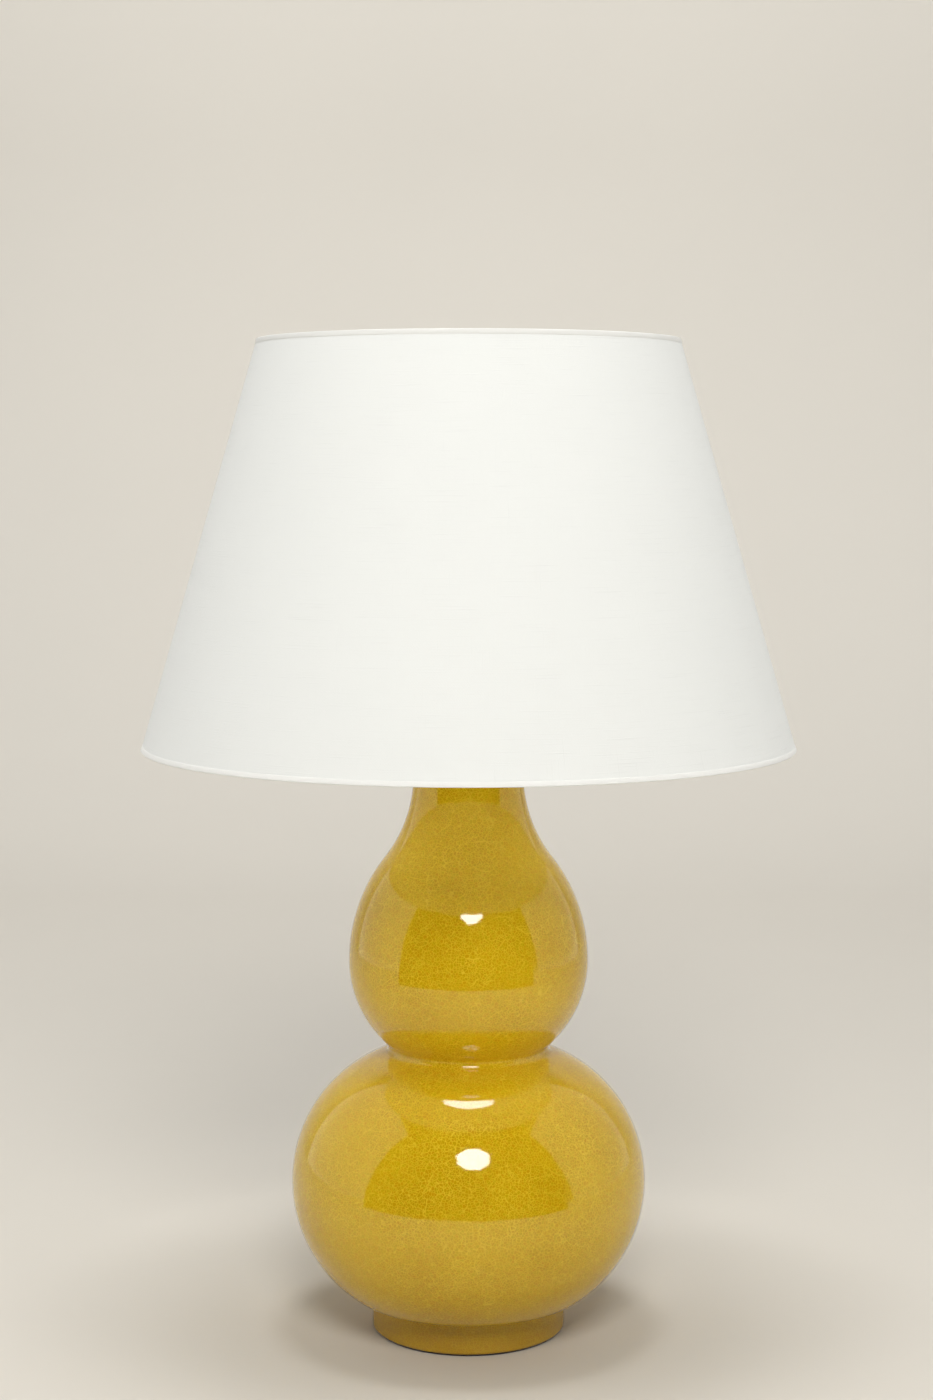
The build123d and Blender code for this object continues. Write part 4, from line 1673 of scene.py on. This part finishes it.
@dataclass
class Bulb(Assembly):
    """The screw-cap globe bulb."""

    contact_base: float = 489.334
    contact_radius: float = 4.8
    contact_height: float = 1.4
    insulator_top: float = 495.234
    cap_length: float = 20.5
    cap_sheet: float = 0.4
    glass_neck: float = 12.8
    glass_radius: float = 30.0
    glass_wall: float = 0.9
    glass_depth: float = 4.0
    glass_height: float = 98.0
    neck_round: float = 45.0

    def build(self) -> None:
        """Make and dress the bulb."""
        self.dress(self.contact(), SOLDER, Body.BULB, "bulb_contact")
        self.dress(self.insulator(), BLACK_GLASS, Body.BULB, "bulb_insulator")
        self.dress(self.cap(), CAP, Body.BULB, "bulb_screw_cap")
        self.dress(self.envelope(), OPAL, Body.BULB, "bulb_glass")
        self.repaint(CLEAR, "bulb_stem")
        self.repaint(LEAD, "lead_wires", "filament")

    def contact(self) -> bpy.types.Object:
        """A domed blob of solder.

        Returns:
            The blob.
        """
        base, r = self.contact_base, self.contact_radius
        dome = [(r * math.sin(a), base + self.contact_height * 0.85 * (1 - math.cos(a)))
                for a in [math.pi / 2 * i / 8 for i in range(9)]]
        line = [*dome, (r, base + self.contact_height), (0.0, base + self.contact_height)]
        return turned("solder_contact", line, 48, closed=False, sharp=50.0)

    def insulator(self) -> bpy.types.Object:
        """The black glass cone, with a step round the contact.

        Returns:
            The cone.
        """
        low, high = self.contact_base + self.contact_height, self.insulator_top
        line = [(0.0, low), (self.contact_radius + 0.3, low),
                (self.contact_radius + 0.8, low + 0.3)]
        line += arc((self.glass_neck - 1.5, high - 6.0), (self.contact_radius + 1.4, low + 0.6),
                    (self.glass_neck - 0.2, high - 0.4), 1)
        line += [(self.glass_neck, high), (0.0, high)]
        return turned("insulator_cone", line, 64, closed=False)

    def cap(self) -> bpy.types.Object:
        """The rolled screw cap, crimped in at the top.

        Returns:
            The cap.
        """
        base, top = self.insulator_top, self.insulator_top + self.cap_length
        thread = CapThread()

        def section(angle: float) -> list[Point]:
            """The cap's section at an angle.

            Args:
                angle: Angle about the axis.

            Returns:
                The points of the section.
            """
            rows = 84
            outside = []
            for i in range(rows + 1):
                z = base + 0.6 + (top - base - 1.0) * i / rows
                ease = max(0.0, min(1.0, (top - 3.2 - z) / 1.6))
                outside.append((thread.crest + (thread.radius(z, angle) - thread.crest) * ease, z))
            inside = [(r - self.cap_sheet, z) for r, z in outside]
            return [(outside[0][0] - 0.9, base), *outside,
                    *inside[::-1], (inside[0][0] - 0.9, base + 0.4)]

        return turned("screw_cap_rolled", section, 72, sharp=60.0)

    def envelope(self) -> bpy.types.Object:
        """The opal glass: a globe, a hollow sweep and a short neck.

        Returns:
            The glass.
        """
        base = self.insulator_top + self.cap_length - self.glass_depth
        crown = self.insulator_top + self.glass_height
        globe = (0.0, crown - self.glass_radius)
        sweep_r = self.glass_neck + self.neck_round
        drop = math.sqrt((self.glass_radius + self.neck_round) ** 2 - sweep_r**2)
        sweep = (sweep_r, globe[1] - drop)
        line: list[Point] = []
        for inset, count in ((0.0, 40), (self.glass_wall, 20)):
            meet = toward(globe, sweep, self.glass_radius - inset)
            side = (self.glass_radius - inset, globe[1])
            run = arc(globe, (0.0, crown - inset), side, count)[:-1]
            run += arc(globe, side, meet, count // 2)[:-1]
            run += arc(sweep, meet, (self.glass_neck - inset, sweep[1]), count // 2)
            run.append((self.glass_neck - inset, base))
            line += run if not line else run[::-1]
        return turned("bulb_envelope", line, 128, closed=False, sharp=50.0)


@dataclass
class ShadeCarrier(Assembly):
    """The wire carrier that the lampholder clamps."""

    base: float = 488.7
    sheet: float = 1.2
    bore: float = 19.09
    width: float = 33.0
    wire: float = 1.5
    top_radius: float = 47.0
    top: float = 640.0
    bend: float = 10.0
    leg_start: float = 26.0
    legs: tuple[float, ...] = (90.0, 210.0, 330.0)

    def build(self) -> None:
        """Make and dress the carrier."""
        ring = turned("carrier_seat", band(self.base, self.sheet, self.bore, self.width, 0.4), 144)
        self.dress(ring, CARRIER_BRASS, Body.CARRIER, "carrier_base_ring")
        height = self.base + self.sheet + self.wire
        path = bent_path([(self.leg_start + self.wire, height), (self.top_radius, height),
                          (self.top_radius, self.top - self.wire * 0.4)], self.bend)
        leg = tube("leg", [(r, 0.0, z) for r, z in path], self.wire)
        fillet = self.braze(height)
        legs = turned_copies("carrier_wires", joined("leg", [leg, *fillet]), self.legs)
        soften(legs.data, 60.0)
        self.dress(legs, CARRIER_BRASS, Body.CARRIER, "carrier_legs")
        top = wire_ring("carrier_hoop", self.top_radius, self.top, self.wire)
        self.dress(top, CARRIER_BRASS, Body.CARRIER, "carrier_top_ring")

    def braze(self, height: float) -> list[bpy.types.Object]:
        """Small fillets of brazing metal at the foot and the top of a leg.

        Args:
            height: Height of the leg's flat run.

        Returns:
            The fillets, at angle 0.
        """
        spots = []
        for x, z, tall in ((self.leg_start + 3.2, height - self.wire, 1.2),
                           (self.top_radius, self.top - self.wire, 1.0)):
            dome = [(0.0, -0.3), (2.7, -0.3), (2.6, 0.0), (2.1, tall * 0.4), (1.2, tall * 0.9),
                    (0.0, tall)]
            outline = [(r, h if z < height else -h) for r, h in dome]
            spots.append(turned("braze", outline, 24, closed=False, at=(x, 0.0, z), sharp=60.0))
        return spots


@dataclass
class DuplexRing(Assembly):
    """The ring on the carrier, with the two screws that the shade tilts on."""

    lip_base: float = 641.8
    sheet: float = 1.2
    skirt: float = 11.0
    lip: float = 43.5
    inner: float = 49.4
    pivot: float = 636.0
    shank: float = 1.5
    hoop_outer: float = 55.7
    gap: float = 0.3
    head: float = 3.0
    head_length: float = 2.0
    spacer: float = 3.0
    spacer_length: float = 3.6

    def build(self) -> None:
        """Make and dress the ring, the screws and the spacers."""
        outer, top = self.inner + self.sheet, self.lip_base + self.sheet
        line = eased([
            (self.lip, self.lip_base, 0.5), (self.inner, self.lip_base, 0.6),
            (self.inner, top - self.skirt, 0.5), (outer, top - self.skirt, 0.5), (outer, top, 1.6),
            (self.lip, top, 0.5),
        ], 6)
        ring = turned("duplex_ring_pressed", line, 192)
        cut(ring, [drill(self.shank, self.hoop_outer * 2, Aim.RIGHT,
                         (-self.hoop_outer, 0.0, self.pivot))])
        self.dress(ring, ENAMEL, Body.DUPLEX, "duplex_ring")
        screws = turned_copies("pivot_screw_pair", self.screw(), (0.0, 180.0))
        soften(screws.data, 30.0)
        self.dress(screws, ZINC, Body.DUPLEX, "pivot_screws")
        section = band(0.0, self.spacer_length, self.shank + 0.07, self.spacer, 0.35)
        sleeve = turned("sleeve", section, 48, aim=Aim.RIGHT, at=(outer, 0.0, self.pivot))
        spacers = turned_copies("pivot_spacer_pair", sleeve, (0.0, 180.0))
        soften(spacers.data, 30.0)
        self.dress(spacers, NYLON, Body.DUPLEX, "pivot_spacers")

    def screw(self) -> bpy.types.Object:
        """A slotted screw with a domed head.

        Returns:
            The screw, at angle 0.
        """
        start = self.hoop_outer + self.gap
        run = start - self.inner
        line = [(0.0, 0.0), (self.shank - 0.3, 0.0), (self.shank, 0.4), (self.shank, run),
                (self.head, run)]
        line += eased([(self.head, run, 0), (self.head, run + self.head_length, 0.9),
                       (0.0, run + self.head_length, 0)], 6)[1:]
        screw = turned("screw", line, 48, closed=False, aim=Aim.RIGHT,
                       at=(self.inner, 0.0, self.pivot))
        bpy.ops.mesh.primitive_cube_add(size=1)
        slot = bpy.context.object
        slot.data.transform(
            Matrix.Translation(Vector((start + self.head_length, 0.0, self.pivot)) * MM)
            @ Matrix.Rotation(math.radians(25), 4, "X")
            @ Matrix.Diagonal((1.8 * MM, 0.7 * MM, 9.0 * MM, 1.0))
        )
        cut(screw, [slot])
        return screw


@dataclass
class Shade(Assembly):
    """The shade: hoop, arms, wire rings, liner, linen and edging tapes."""

    bottom: float = 411.6
    top: float = 690.5
    bottom_radius: float = 225.0
    top_radius: float = 144.1
    linen: float = 0.8
    liner: float = 0.8
    edging: float = 0.5
    edging_width: float = 3.5
    wire: float = 1.5
    ring_inset: float = 5.0
    ring_gap: float = 0.1
    hoop_inner: float = 54.5
    hoop_sheet: float = 1.2
    hoop_height: float = 8.0
    pivot: float = 636.0
    pivot_bore: float = 1.57
    arm_rise: float = 14.0
    arm_bend: float = 6.0
    arms: tuple[float, ...] = (90.0, 210.0, 330.0)
    seam: float = 10.0
    segments: int = 288

    @property
    def slope(self) -> float:
        """How much the radius falls for each step up."""
        return (self.bottom_radius - self.top_radius) / (self.top - self.bottom)

    @property
    def lean(self) -> float:
        """Angle of the side from upright."""
        return math.atan(self.slope)

    def at(self, height: float, depth: float) -> float:
        """Radius at a height, at a depth inside the outer face."""
        face = self.bottom_radius - self.slope * (height - self.bottom)
        return face - depth / math.cos(self.lean)

    def build(self) -> None:
        """Make and dress the shade."""
        reach = self.hoop_inner + self.hoop_sheet
        strip = band(self.pivot - self.hoop_height / 2, self.hoop_height,
                     self.hoop_inner, reach, 0.35)
        hoop = turned("gimbal_hoop_ring", strip, 192)
        cut(hoop, [drill(self.pivot_bore, reach * 2 + 2, Aim.RIGHT, (-reach - 1, 0.0, self.pivot))])
        self.dress(hoop, ENAMEL, Body.SHADE, "gimbal_hoop")
        depth = self.linen + self.liner + self.ring_gap + self.wire
        high, low = self.top - self.ring_inset, self.bottom + self.ring_inset
        top_ring = wire_ring("top_wire", self.at(high, depth), high, self.wire)
        self.dress(top_ring, ENAMEL, Body.SHADE, "shade_top_ring")
        bottom_ring = wire_ring("bottom_wire", self.at(low, depth), low, self.wire)
        self.dress(bottom_ring, ENAMEL, Body.SHADE, "shade_bottom_ring")
        self.dress(self.arm_set(self.at(high, depth), high), ENAMEL, Body.SHADE, "shade_arms")
        liner = self.cone("liner_film", self.linen, self.liner, False)
        self.dress(liner, LINER, Body.SHADE, "shade_liner")
        upper = self.tape("top_tape", self.top, -1)
        self.dress(upper, TAPE, Body.SHADE, "top_edging")
        lower = self.tape("bottom_tape", self.bottom, 1)
        self.dress(lower, TAPE, Body.SHADE, "bottom_edging")
        cloth = self.cone("linen_cover", 0.0, self.linen - 0.05, True)
        self.dress(cloth, LINEN, Body.SHADE, "shade_linen")
        self.declare(cloth, upper, lower)

    def arm_set(self, ring_radius: float, ring_height: float) -> bpy.types.Object:
        """Three bent arms from the hoop to the top ring, with a weld at each end.

        Args:
            ring_radius: Radius of the top ring.
            ring_height: Its height.

        Returns:
            The arms as one object.
        """
        foot = self.hoop_inner + self.hoop_sheet + self.wire
        base = self.pivot - self.hoop_height / 2
        path = bent_path([(foot, base + 0.4), (foot, base + self.arm_rise),
                          (ring_radius, ring_height)], self.arm_bend)
        arm = tube("arm", [(r, 0.0, z) for r, z in path], self.wire)
        welds = []
        for r, z in ((foot - 1.0, base + 2.2), (foot - 1.0, base + self.hoop_height - 1.8)):
            dome = [(0.0, -2.1), (0.9, -1.8), (1.6, -0.9), (1.9, 0.0), (1.6, 0.9), (0.9, 1.8),
                    (0.0, 2.1)]
            welds.append(turned("weld", dome, 20, closed=False, at=(r, 0.0, z), sharp=60.0))
        arms = turned_copies("gallery_arms", joined("arm", [arm, *welds]), self.arms)
        soften(arms.data, 60.0)
        return arms

    def cone(self, name: str, depth: float, thickness: float, overlap: bool) -> bpy.types.Object:
        """A thin skin of the shade, laid out by its flat cut.

        Args:
            name: Name of the piece.
            depth: How far its outer face lies inside the shade's.
            thickness: Its thickness.
            overlap: Whether a glued overlap stands up along the back.

        Returns:
            The skin, with the layer "cloth" in metres along its threads.
        """
        low, high = self.bottom + self.edging, self.top - self.edging
        rows = 24
        half = self.seam / 2 / self.bottom_radius

        def section(angle: float) -> list[Point]:
            """The skin's section at an angle, a little thicker on the seam.

            Args:
                angle: Angle about the axis.

            Returns:
                The points of the section.
            """
            off = abs(angle - math.pi / 2)
            proud = 0.35 * max(0.0, min(1.0, (half - off) / (half * 0.12))) if overlap else 0.0
            outer = [low + (high - low) * i / rows for i in range(rows + 1)]
            line = [(self.at(z, depth - proud), z) for z in outer]
            line += [(self.at(z, depth + thickness), z) for z in reversed(outer)]
            return line

        segments = self.segments * 4 if overlap else self.segments
        skin = turned(name, section, segments, sharp=50.0)
        self.lay_out(skin)
        return skin

    def lay_out(self, piece: bpy.types.Object) -> None:
        """Write each corner's place in the flat cut into the layer "cloth".

        Args:
            piece: A piece that follows the shade's side.
        """
        mean = (self.bottom_radius + self.top_radius) / 2 * MM
        layer = piece.data.uv_layers.new(name=CLOTH)
        vertices = piece.data.vertices
        for face in piece.data.polygons:
            angles = [(math.atan2(vertices[v].co.y, vertices[v].co.x) - math.pi / 2) % math.tau
                      for v in face.vertices]
            wraps = max(angles) - min(angles) > math.pi
            for loop, vertex, angle in zip(face.loop_indices, face.vertices, angles):
                if wraps and angle < math.pi:
                    angle += math.tau
                layer.data[loop].uv = (angle * mean, vertices[vertex].co.z / math.cos(self.lean))

    def tape(self, name: str, rim: float, inward: int) -> bpy.types.Object:
        """A folded tape over a rim.

        Args:
            name: Name of the piece.
            rim: Height of the rim.
            inward: 1 where the shade lies above the rim, -1 where it lies below.

        Returns:
            The tape.
        """
        stop, seat = rim + inward * self.edging_width, rim + inward * self.edging
        cover = self.linen + self.liner

        def section(angle: float) -> list[Point]:
            """The tape's section, with the small ripple of its glued edge.

            Args:
                angle: Angle about the axis.

            Returns:
                The points of the section.
            """
            wave = 0.10 * math.sin(67 * angle) * math.sin(23 * angle)
            end = stop + inward * (wave - 0.1)
            line = eased([
                (self.at(rim, -self.edging), rim, 0.45), (self.at(end, -0.12), end, 0.1),
                (self.at(end, 0.0), end, 0.0), (self.at(seat, 0.0), seat, 0.0),
                (self.at(seat, cover), seat, 0.0), (self.at(rim, cover), rim, 0.4),
            ], 4)
            return line

        piece = turned(name, section, self.segments * 2, sharp=60.0)
        self.lay_out(piece)
        return piece

    def declare(self, cloth: bpy.types.Object, *tapes: bpy.types.Object) -> None:
        """Does nothing: the linen's flat cut is not stated here.

        Args:
            cloth: The linen; not used.
            *tapes: The tapes on it; not used.
        """


@dataclass(frozen=True)
class AreaLight:
    """A soft rectangular light.

    Attributes:
        name: Its name.
        place: Where it stands, in metres.
        target: What it points at.
        width: Its width.
        height: Its height.
        power: Its power in watts.
        spread: Degrees that its light fans out over; a narrow fan shows in no reflection.
    """

    name: str
    place: Point3
    target: Point3
    width: float
    height: float
    power: float
    spread: float = 180.0

    def build(self) -> None:
        """Hang the light."""
        lamp = bpy.data.lights.new(self.name, "AREA")
        lamp.shape = "RECTANGLE"
        lamp.spread = math.radians(self.spread)
        lamp.size, lamp.size_y = self.width, self.height
        lamp.energy = self.power
        light = bpy.data.objects.new(self.name, lamp)
        light.location = self.place
        way = Vector(self.target) - Vector(self.place)
        light.rotation_euler = way.to_track_quat("-Z", "Y").to_euler()
        light.visible_camera = False
        light.visible_glossy = self.spread > 179.0
        bpy.context.scene.collection.objects.link(light)


AREA_LIGHTS = (
    AreaLight("panel_left", (-1.75, 0.25, 1.0), (0.0, 0.0, 0.5), 2.4, 2.6, power=12.6),
    AreaLight("panel_right", (1.75, 0.25, 1.0), (0.0, 0.0, 0.5), 2.4, 2.6, power=10.4),
    AreaLight("overhead", (0.0, -0.30, 2.9), (0.0, 0.0, 0.4), 1.1, 1.1, power=41.0),
    AreaLight("wall_wash", (0.0, 1.4, 3.2), (0.0, 3.0, 1.2), 6.0, 0.4, power=32.0, spread=110.0),
    AreaLight("front_fill", (0.0, -3.4, 0.75), (0.0, 0.0, 0.45), 2.4, 0.8, power=2.4, spread=120.0),
    AreaLight("back_fill", (0.0, 2.2, 0.5), (0.0, 0.0, 0.66), 2.4, 0.5, power=0.75, spread=70.0),
)


@dataclass
class Studio:
    """Pale paper, soft lights and the camera, in metres and degrees.

    Attributes:
        paper: Colour of the paper.
        paper_roughness: Its roughness.
        far_paper: Light of the paper far off, which only the camera sees.
        far_side: Where the far paper starts on both sides.
        far_front: Where it starts in front.
        far_lift: How far it lies above the floor.
        far_radius: Radius of the surround, and how far the far paper goes.
        air: Colour of the light that comes from all round.
        air_strength: How strong it is.
        lit_reach: How far the floor that gloss sees goes in front.
        lit_lift: How far that floor lies above the real one.
        wall: Where the paper hangs behind the lamp.
        half_width: Half of the paper's width.
        wall_height: How high it hangs.
        sweep: Radius of the turn from floor to wall.
        floor_front: How far the floor comes forward.
        gloss_side: Half the width of the floor that gloss sees behind the lamp.
        room_radius: How far off the unlit room stands.
        box_distance: How far off the soft box hangs.
        box_elevation: How high it hangs, as an angle.
        box_aside: How far it hangs to the right.
        box_base: Height that its distance is taken from.
        box_target: What it faces.
        box_half: Half of its width and of its height.
        box_colour: Colour of its light.
        box_strength: Strength of its light.
        camera_distance: How far off the camera stands.
        camera_height: How high it stands.
        camera_pitch: How far it looks down.
        camera_aside: How far it stands to the right.
        camera_lens: Its lens, in millimetres.
        gap_left: Angle to the left of the front where the lit room starts.
        gap_right: The same to the right.
    """

    paper: Colour = (0.722, 0.688, 0.623)
    paper_roughness: float = 0.85
    far_paper: Colour = (0.70, 0.67, 0.59)
    far_side: float = 1.7
    far_front: float = -1.95
    far_lift: float = 0.0006
    far_radius: float = 6.5
    air: Colour = (0.97, 0.98, 1.0)
    air_strength: float = 0.08
    lit_reach: float = 0.79
    lit_lift: float = 0.0004
    wall: float = 3.0
    half_width: float = 4.5
    wall_height: float = 4.0
    sweep: float = 1.2
    floor_front: float = -6.0
    gloss_side: float = 6.0
    room_radius: float = 4.2
    box_distance: float = 3.3
    box_elevation: float = 39.2
    box_aside: float = 0.155
    box_base: float = 0.12
    box_target: Point3 = (0.0, 0.0, 0.2)
    box_half: Point = (0.615, 0.53)
    box_colour: Colour = (1.0, 0.985, 0.955)
    box_strength: float = 16.6
    camera_distance: float = 1.71567
    camera_height: float = 0.60535
    camera_pitch: float = 5.386
    camera_aside: float = -0.0014
    camera_lens: float = 64.08
    gap_left: float = 68.0
    gap_right: float = 62.5

    def build(self) -> None:
        """Make the floor, the lights and the camera."""
        self.floor()
        self.surround()
        self.dark_gap()
        self.soft_box()
        for light in AREA_LIGHTS:
            light.build()
        self.world()
        self.camera()

    def show(self, name: str, points: list[Point3], faces: list[tuple[int, ...]],
             material: bpy.types.Material) -> bpy.types.Object:
        """A stage surface, which isn't part of the lamp.

        Args:
            name: Its name.
            points: Vertices in metres.
            faces: Vertex numbers of each face.
            material: Its material.

        Returns:
            The surface.
        """
        mesh = bpy.data.meshes.new(name)
        mesh.from_pydata(points, [], faces)
        mesh.polygons.foreach_set("use_smooth", [True] * len(mesh.polygons))
        mesh.materials.append(material)
        surface = bpy.data.objects.new(name, mesh)
        bpy.context.scene.collection.objects.link(surface)
        return surface

    @staticmethod
    def hide(surface: bpy.types.Object, *ways: str) -> None:
        """Take a surface away from some kinds of ray."""
        for way in ways:
            setattr(surface, f"visible_{way}", False)

    @staticmethod
    def glow(name: str, colour: Colour, strength: float = 1.0) -> bpy.types.Material:
        """A material that gives light and shows none.

        Args:
            name: Its name.
            colour: Colour of the light.
            strength: Its strength.

        Returns:
            The material.
        """
        sheet = Sheet(name)
        sheet.set(Base_Color=(0.0, 0.0, 0.0, 1.0), Emission_Color=(*colour, 1.0),
                  Emission_Strength=strength, Specular_IOR_Level=0.0)
        return sheet.material

    def paper_material(self) -> bpy.types.Material:
        """Matt paper with soft fibres and very faint clouds.

        Returns:
            The material.
        """
        sheet = Sheet("studio_paper")
        clouds = sheet.noise(scale=2.2, detail=3.0)
        fibres = sheet.noise(scale=700.0, detail=3.0)
        darker = tuple(part * 0.97 for part in self.paper)
        sheet.set(Base_Color=sheet.blend(clouds, self.paper, darker), Specular_IOR_Level=0.2,
                  Roughness=self.paper_roughness)
        sheet.relief(fibres, 0.00005)
        return sheet.material

    @property
    def sweep_start(self) -> float:
        """Where the floor starts to turn up."""
        return self.wall - self.sweep

    def floor(self) -> None:
        """The paper: a floor and the sweep behind it.

        Gloss sees the floor only as far as the edge of the lit ring in front, and the full floor
        is left to every other ray.
        """
        steps, wide, start = 24, self.half_width, self.sweep_start
        turns = [math.pi / 2 * i / steps for i in range(steps + 1)]
        line = [(start + self.sweep * math.sin(turn), self.sweep - self.sweep * math.cos(turn))
                for turn in turns]
        line.append((self.wall, self.wall_height))
        points = [(x, y, z) for y, z in line for x in (-wide, wide)]
        faces = [(2 * i, 2 * i + 1, 2 * i + 3, 2 * i + 2) for i in range(len(line) - 1)]
        paper = self.paper_material()
        self.show("studio_sweep", points, faces, paper)
        corners = [(-wide, self.floor_front, 0.0), (wide, self.floor_front, 0.0),
                   (wide, start, 0.0), (-wide, start, 0.0)]
        floor = self.show("studio_floor", corners, [(0, 1, 2, 3)], paper)
        floor.visible_glossy = False
        seen = self.lit_outline()
        ring = self.show("studio_floor_in_gloss", seen, [tuple(range(len(seen)))[::-1]], paper)
        self.hide(ring, "camera", "diffuse", "shadow", "transmission", "volume_scatter")

    def lit_outline(self) -> list[Point3]:
        """The outline of the floor that gloss sees: the lit ring's edge, then far out and back.

        Returns:
            Its corners.
        """
        steps, rim = 48, []
        for i in range(steps + 1):
            angle = math.radians(self.gap_right - (self.gap_right + self.gap_left) * i / steps)
            reach = self.lit_reach * (1 + 0.18 * (angle / 1.08) ** 2)
            rim.append((reach * math.sin(angle), -reach * math.cos(angle), self.lit_lift))
        left, right = ((x * 6.0, y * 6.0, z) for x, y, z in (rim[-1], rim[0]))
        back = [(side, self.sweep_start, self.lit_lift)
                for side in (-self.gloss_side, self.gloss_side)]
        return [*rim, left, *back, right]

    def surround(self) -> None:
        """Pale paper all round, which only the camera sees when it stands on another side."""
        steps, radius, lift = 48, self.far_radius, self.far_lift
        turns = [math.tau * i / steps for i in range(steps)]
        points = [(radius * math.cos(turn), radius * math.sin(turn), z)
                  for turn in turns for z in (-3.0, 9.0)]
        faces = [(2 * i, 2 * i + 1, (2 * i + 3) % (2 * steps), (2 * i + 2) % (2 * steps))
                 for i in range(steps)]
        faces += [tuple(range(0, 2 * steps, 2)), tuple(range(1, 2 * steps, 2))]
        paper = self.glow("studio_surround", self.far_paper)
        wall = self.show("studio_surround", points, faces, paper)
        corners: list[Point3] = []
        for x0, x1, y1 in ((-radius, -self.far_side, self.sweep_start),
                           (self.far_side, radius, self.sweep_start),
                           (-self.far_side, self.far_side, self.far_front)):
            corners += [(x0, -radius, lift), (x1, -radius, lift), (x1, y1, lift), (x0, y1, lift)]
        squares = [(0, 1, 2, 3), (4, 5, 6, 7), (8, 9, 10, 11)]
        ground = self.show("studio_far_paper", corners, squares, paper)
        for surface in (wall, ground):
            self.hide(surface, "diffuse", "glossy", "shadow", "transmission", "volume_scatter")

    def dark_gap(self) -> None:
        """The unlit room in front, which only gloss shows."""
        steps, radius = 32, self.room_radius
        points = []
        for i in range(steps + 1):
            angle = math.radians(-90 - self.gap_left + (self.gap_left + self.gap_right) * i / steps)
            for z in (-2.5, 7.0):
                points.append((radius * math.cos(angle), radius * math.sin(angle), z))
        faces = [(2 * i, 2 * i + 2, 2 * i + 3, 2 * i + 1) for i in range(steps)]
        sheet = Sheet("unlit_room")
        sheet.set(Base_Color=(0.01, 0.01, 0.01, 1.0), Roughness=1.0, Specular_IOR_Level=0.0)
        room = self.show("studio_unlit_room", points, faces, sheet.material)
        self.hide(room, "camera", "diffuse", "shadow", "transmission", "volume_scatter")

    def soft_box(self) -> None:
        """An eight-sided soft box in front and above, whose shape shows in the glaze."""
        slant = math.radians(self.box_elevation)
        centre = Vector((self.box_aside, -self.box_distance * math.cos(slant),
                         self.box_base + self.box_distance * math.sin(slant)))
        look = (Vector(self.box_target) - centre).normalized()
        right = look.cross(Vector((0, 0, 1))).normalized()
        up = right.cross(look)
        wide, tall = self.box_half
        turns = [math.pi / 4 * (k + 0.5) for k in range(8)]
        rim = [centre + right * wide * math.cos(turn) + up * tall * math.sin(turn)
               for turn in turns]
        cloth = self.glow("soft_box_cloth", self.box_colour, self.box_strength)
        box = self.show("studio_soft_box", [tuple(p) for p in rim], [tuple(range(8))], cloth)
        box.visible_camera = False

    def world(self) -> None:
        """Faint light from all round."""
        world = bpy.data.worlds.new("studio_air")
        world.use_nodes = True
        back = world.node_tree.nodes["Background"]
        back.inputs["Color"].default_value = (*self.air, 1.0)
        back.inputs["Strength"].default_value = self.air_strength
        bpy.context.scene.world = world

    def camera(self) -> None:
        """The camera, at the photograph's place and angle."""
        view = bpy.data.cameras.new("camera")
        view.sensor_fit = "VERTICAL"
        view.sensor_height = 36.0
        view.lens = self.camera_lens
        camera = bpy.data.objects.new("camera", view)
        camera.location = (self.camera_aside, -self.camera_distance, self.camera_height)
        camera.rotation_euler = (math.radians(90 - self.camera_pitch), 0.0, 0.0)
        bpy.context.scene.collection.objects.link(camera)
        bpy.context.scene.camera = camera
        settings = bpy.context.scene.view_settings
        settings.view_transform = "Standard"
        settings.look = "None"


def clear_bench() -> None:
    """Take away whatever the empty scene starts with."""
    for thing in list(bpy.data.objects):
        bpy.data.objects.remove(thing)


def main() -> None:
    """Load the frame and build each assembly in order."""
    logging.basicConfig(level=logging.INFO, format="%(message)s")
    clear_bench()
    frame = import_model()
    for assembly in (GourdBase, NeckFittings, Lampholder, Bulb, ShadeCarrier, DuplexRing, Shade):
        LOG.info("-- %s", assembly.__name__)
        assembly(frame).build()
    Studio().build()


if __name__ == "__main__":
    main()
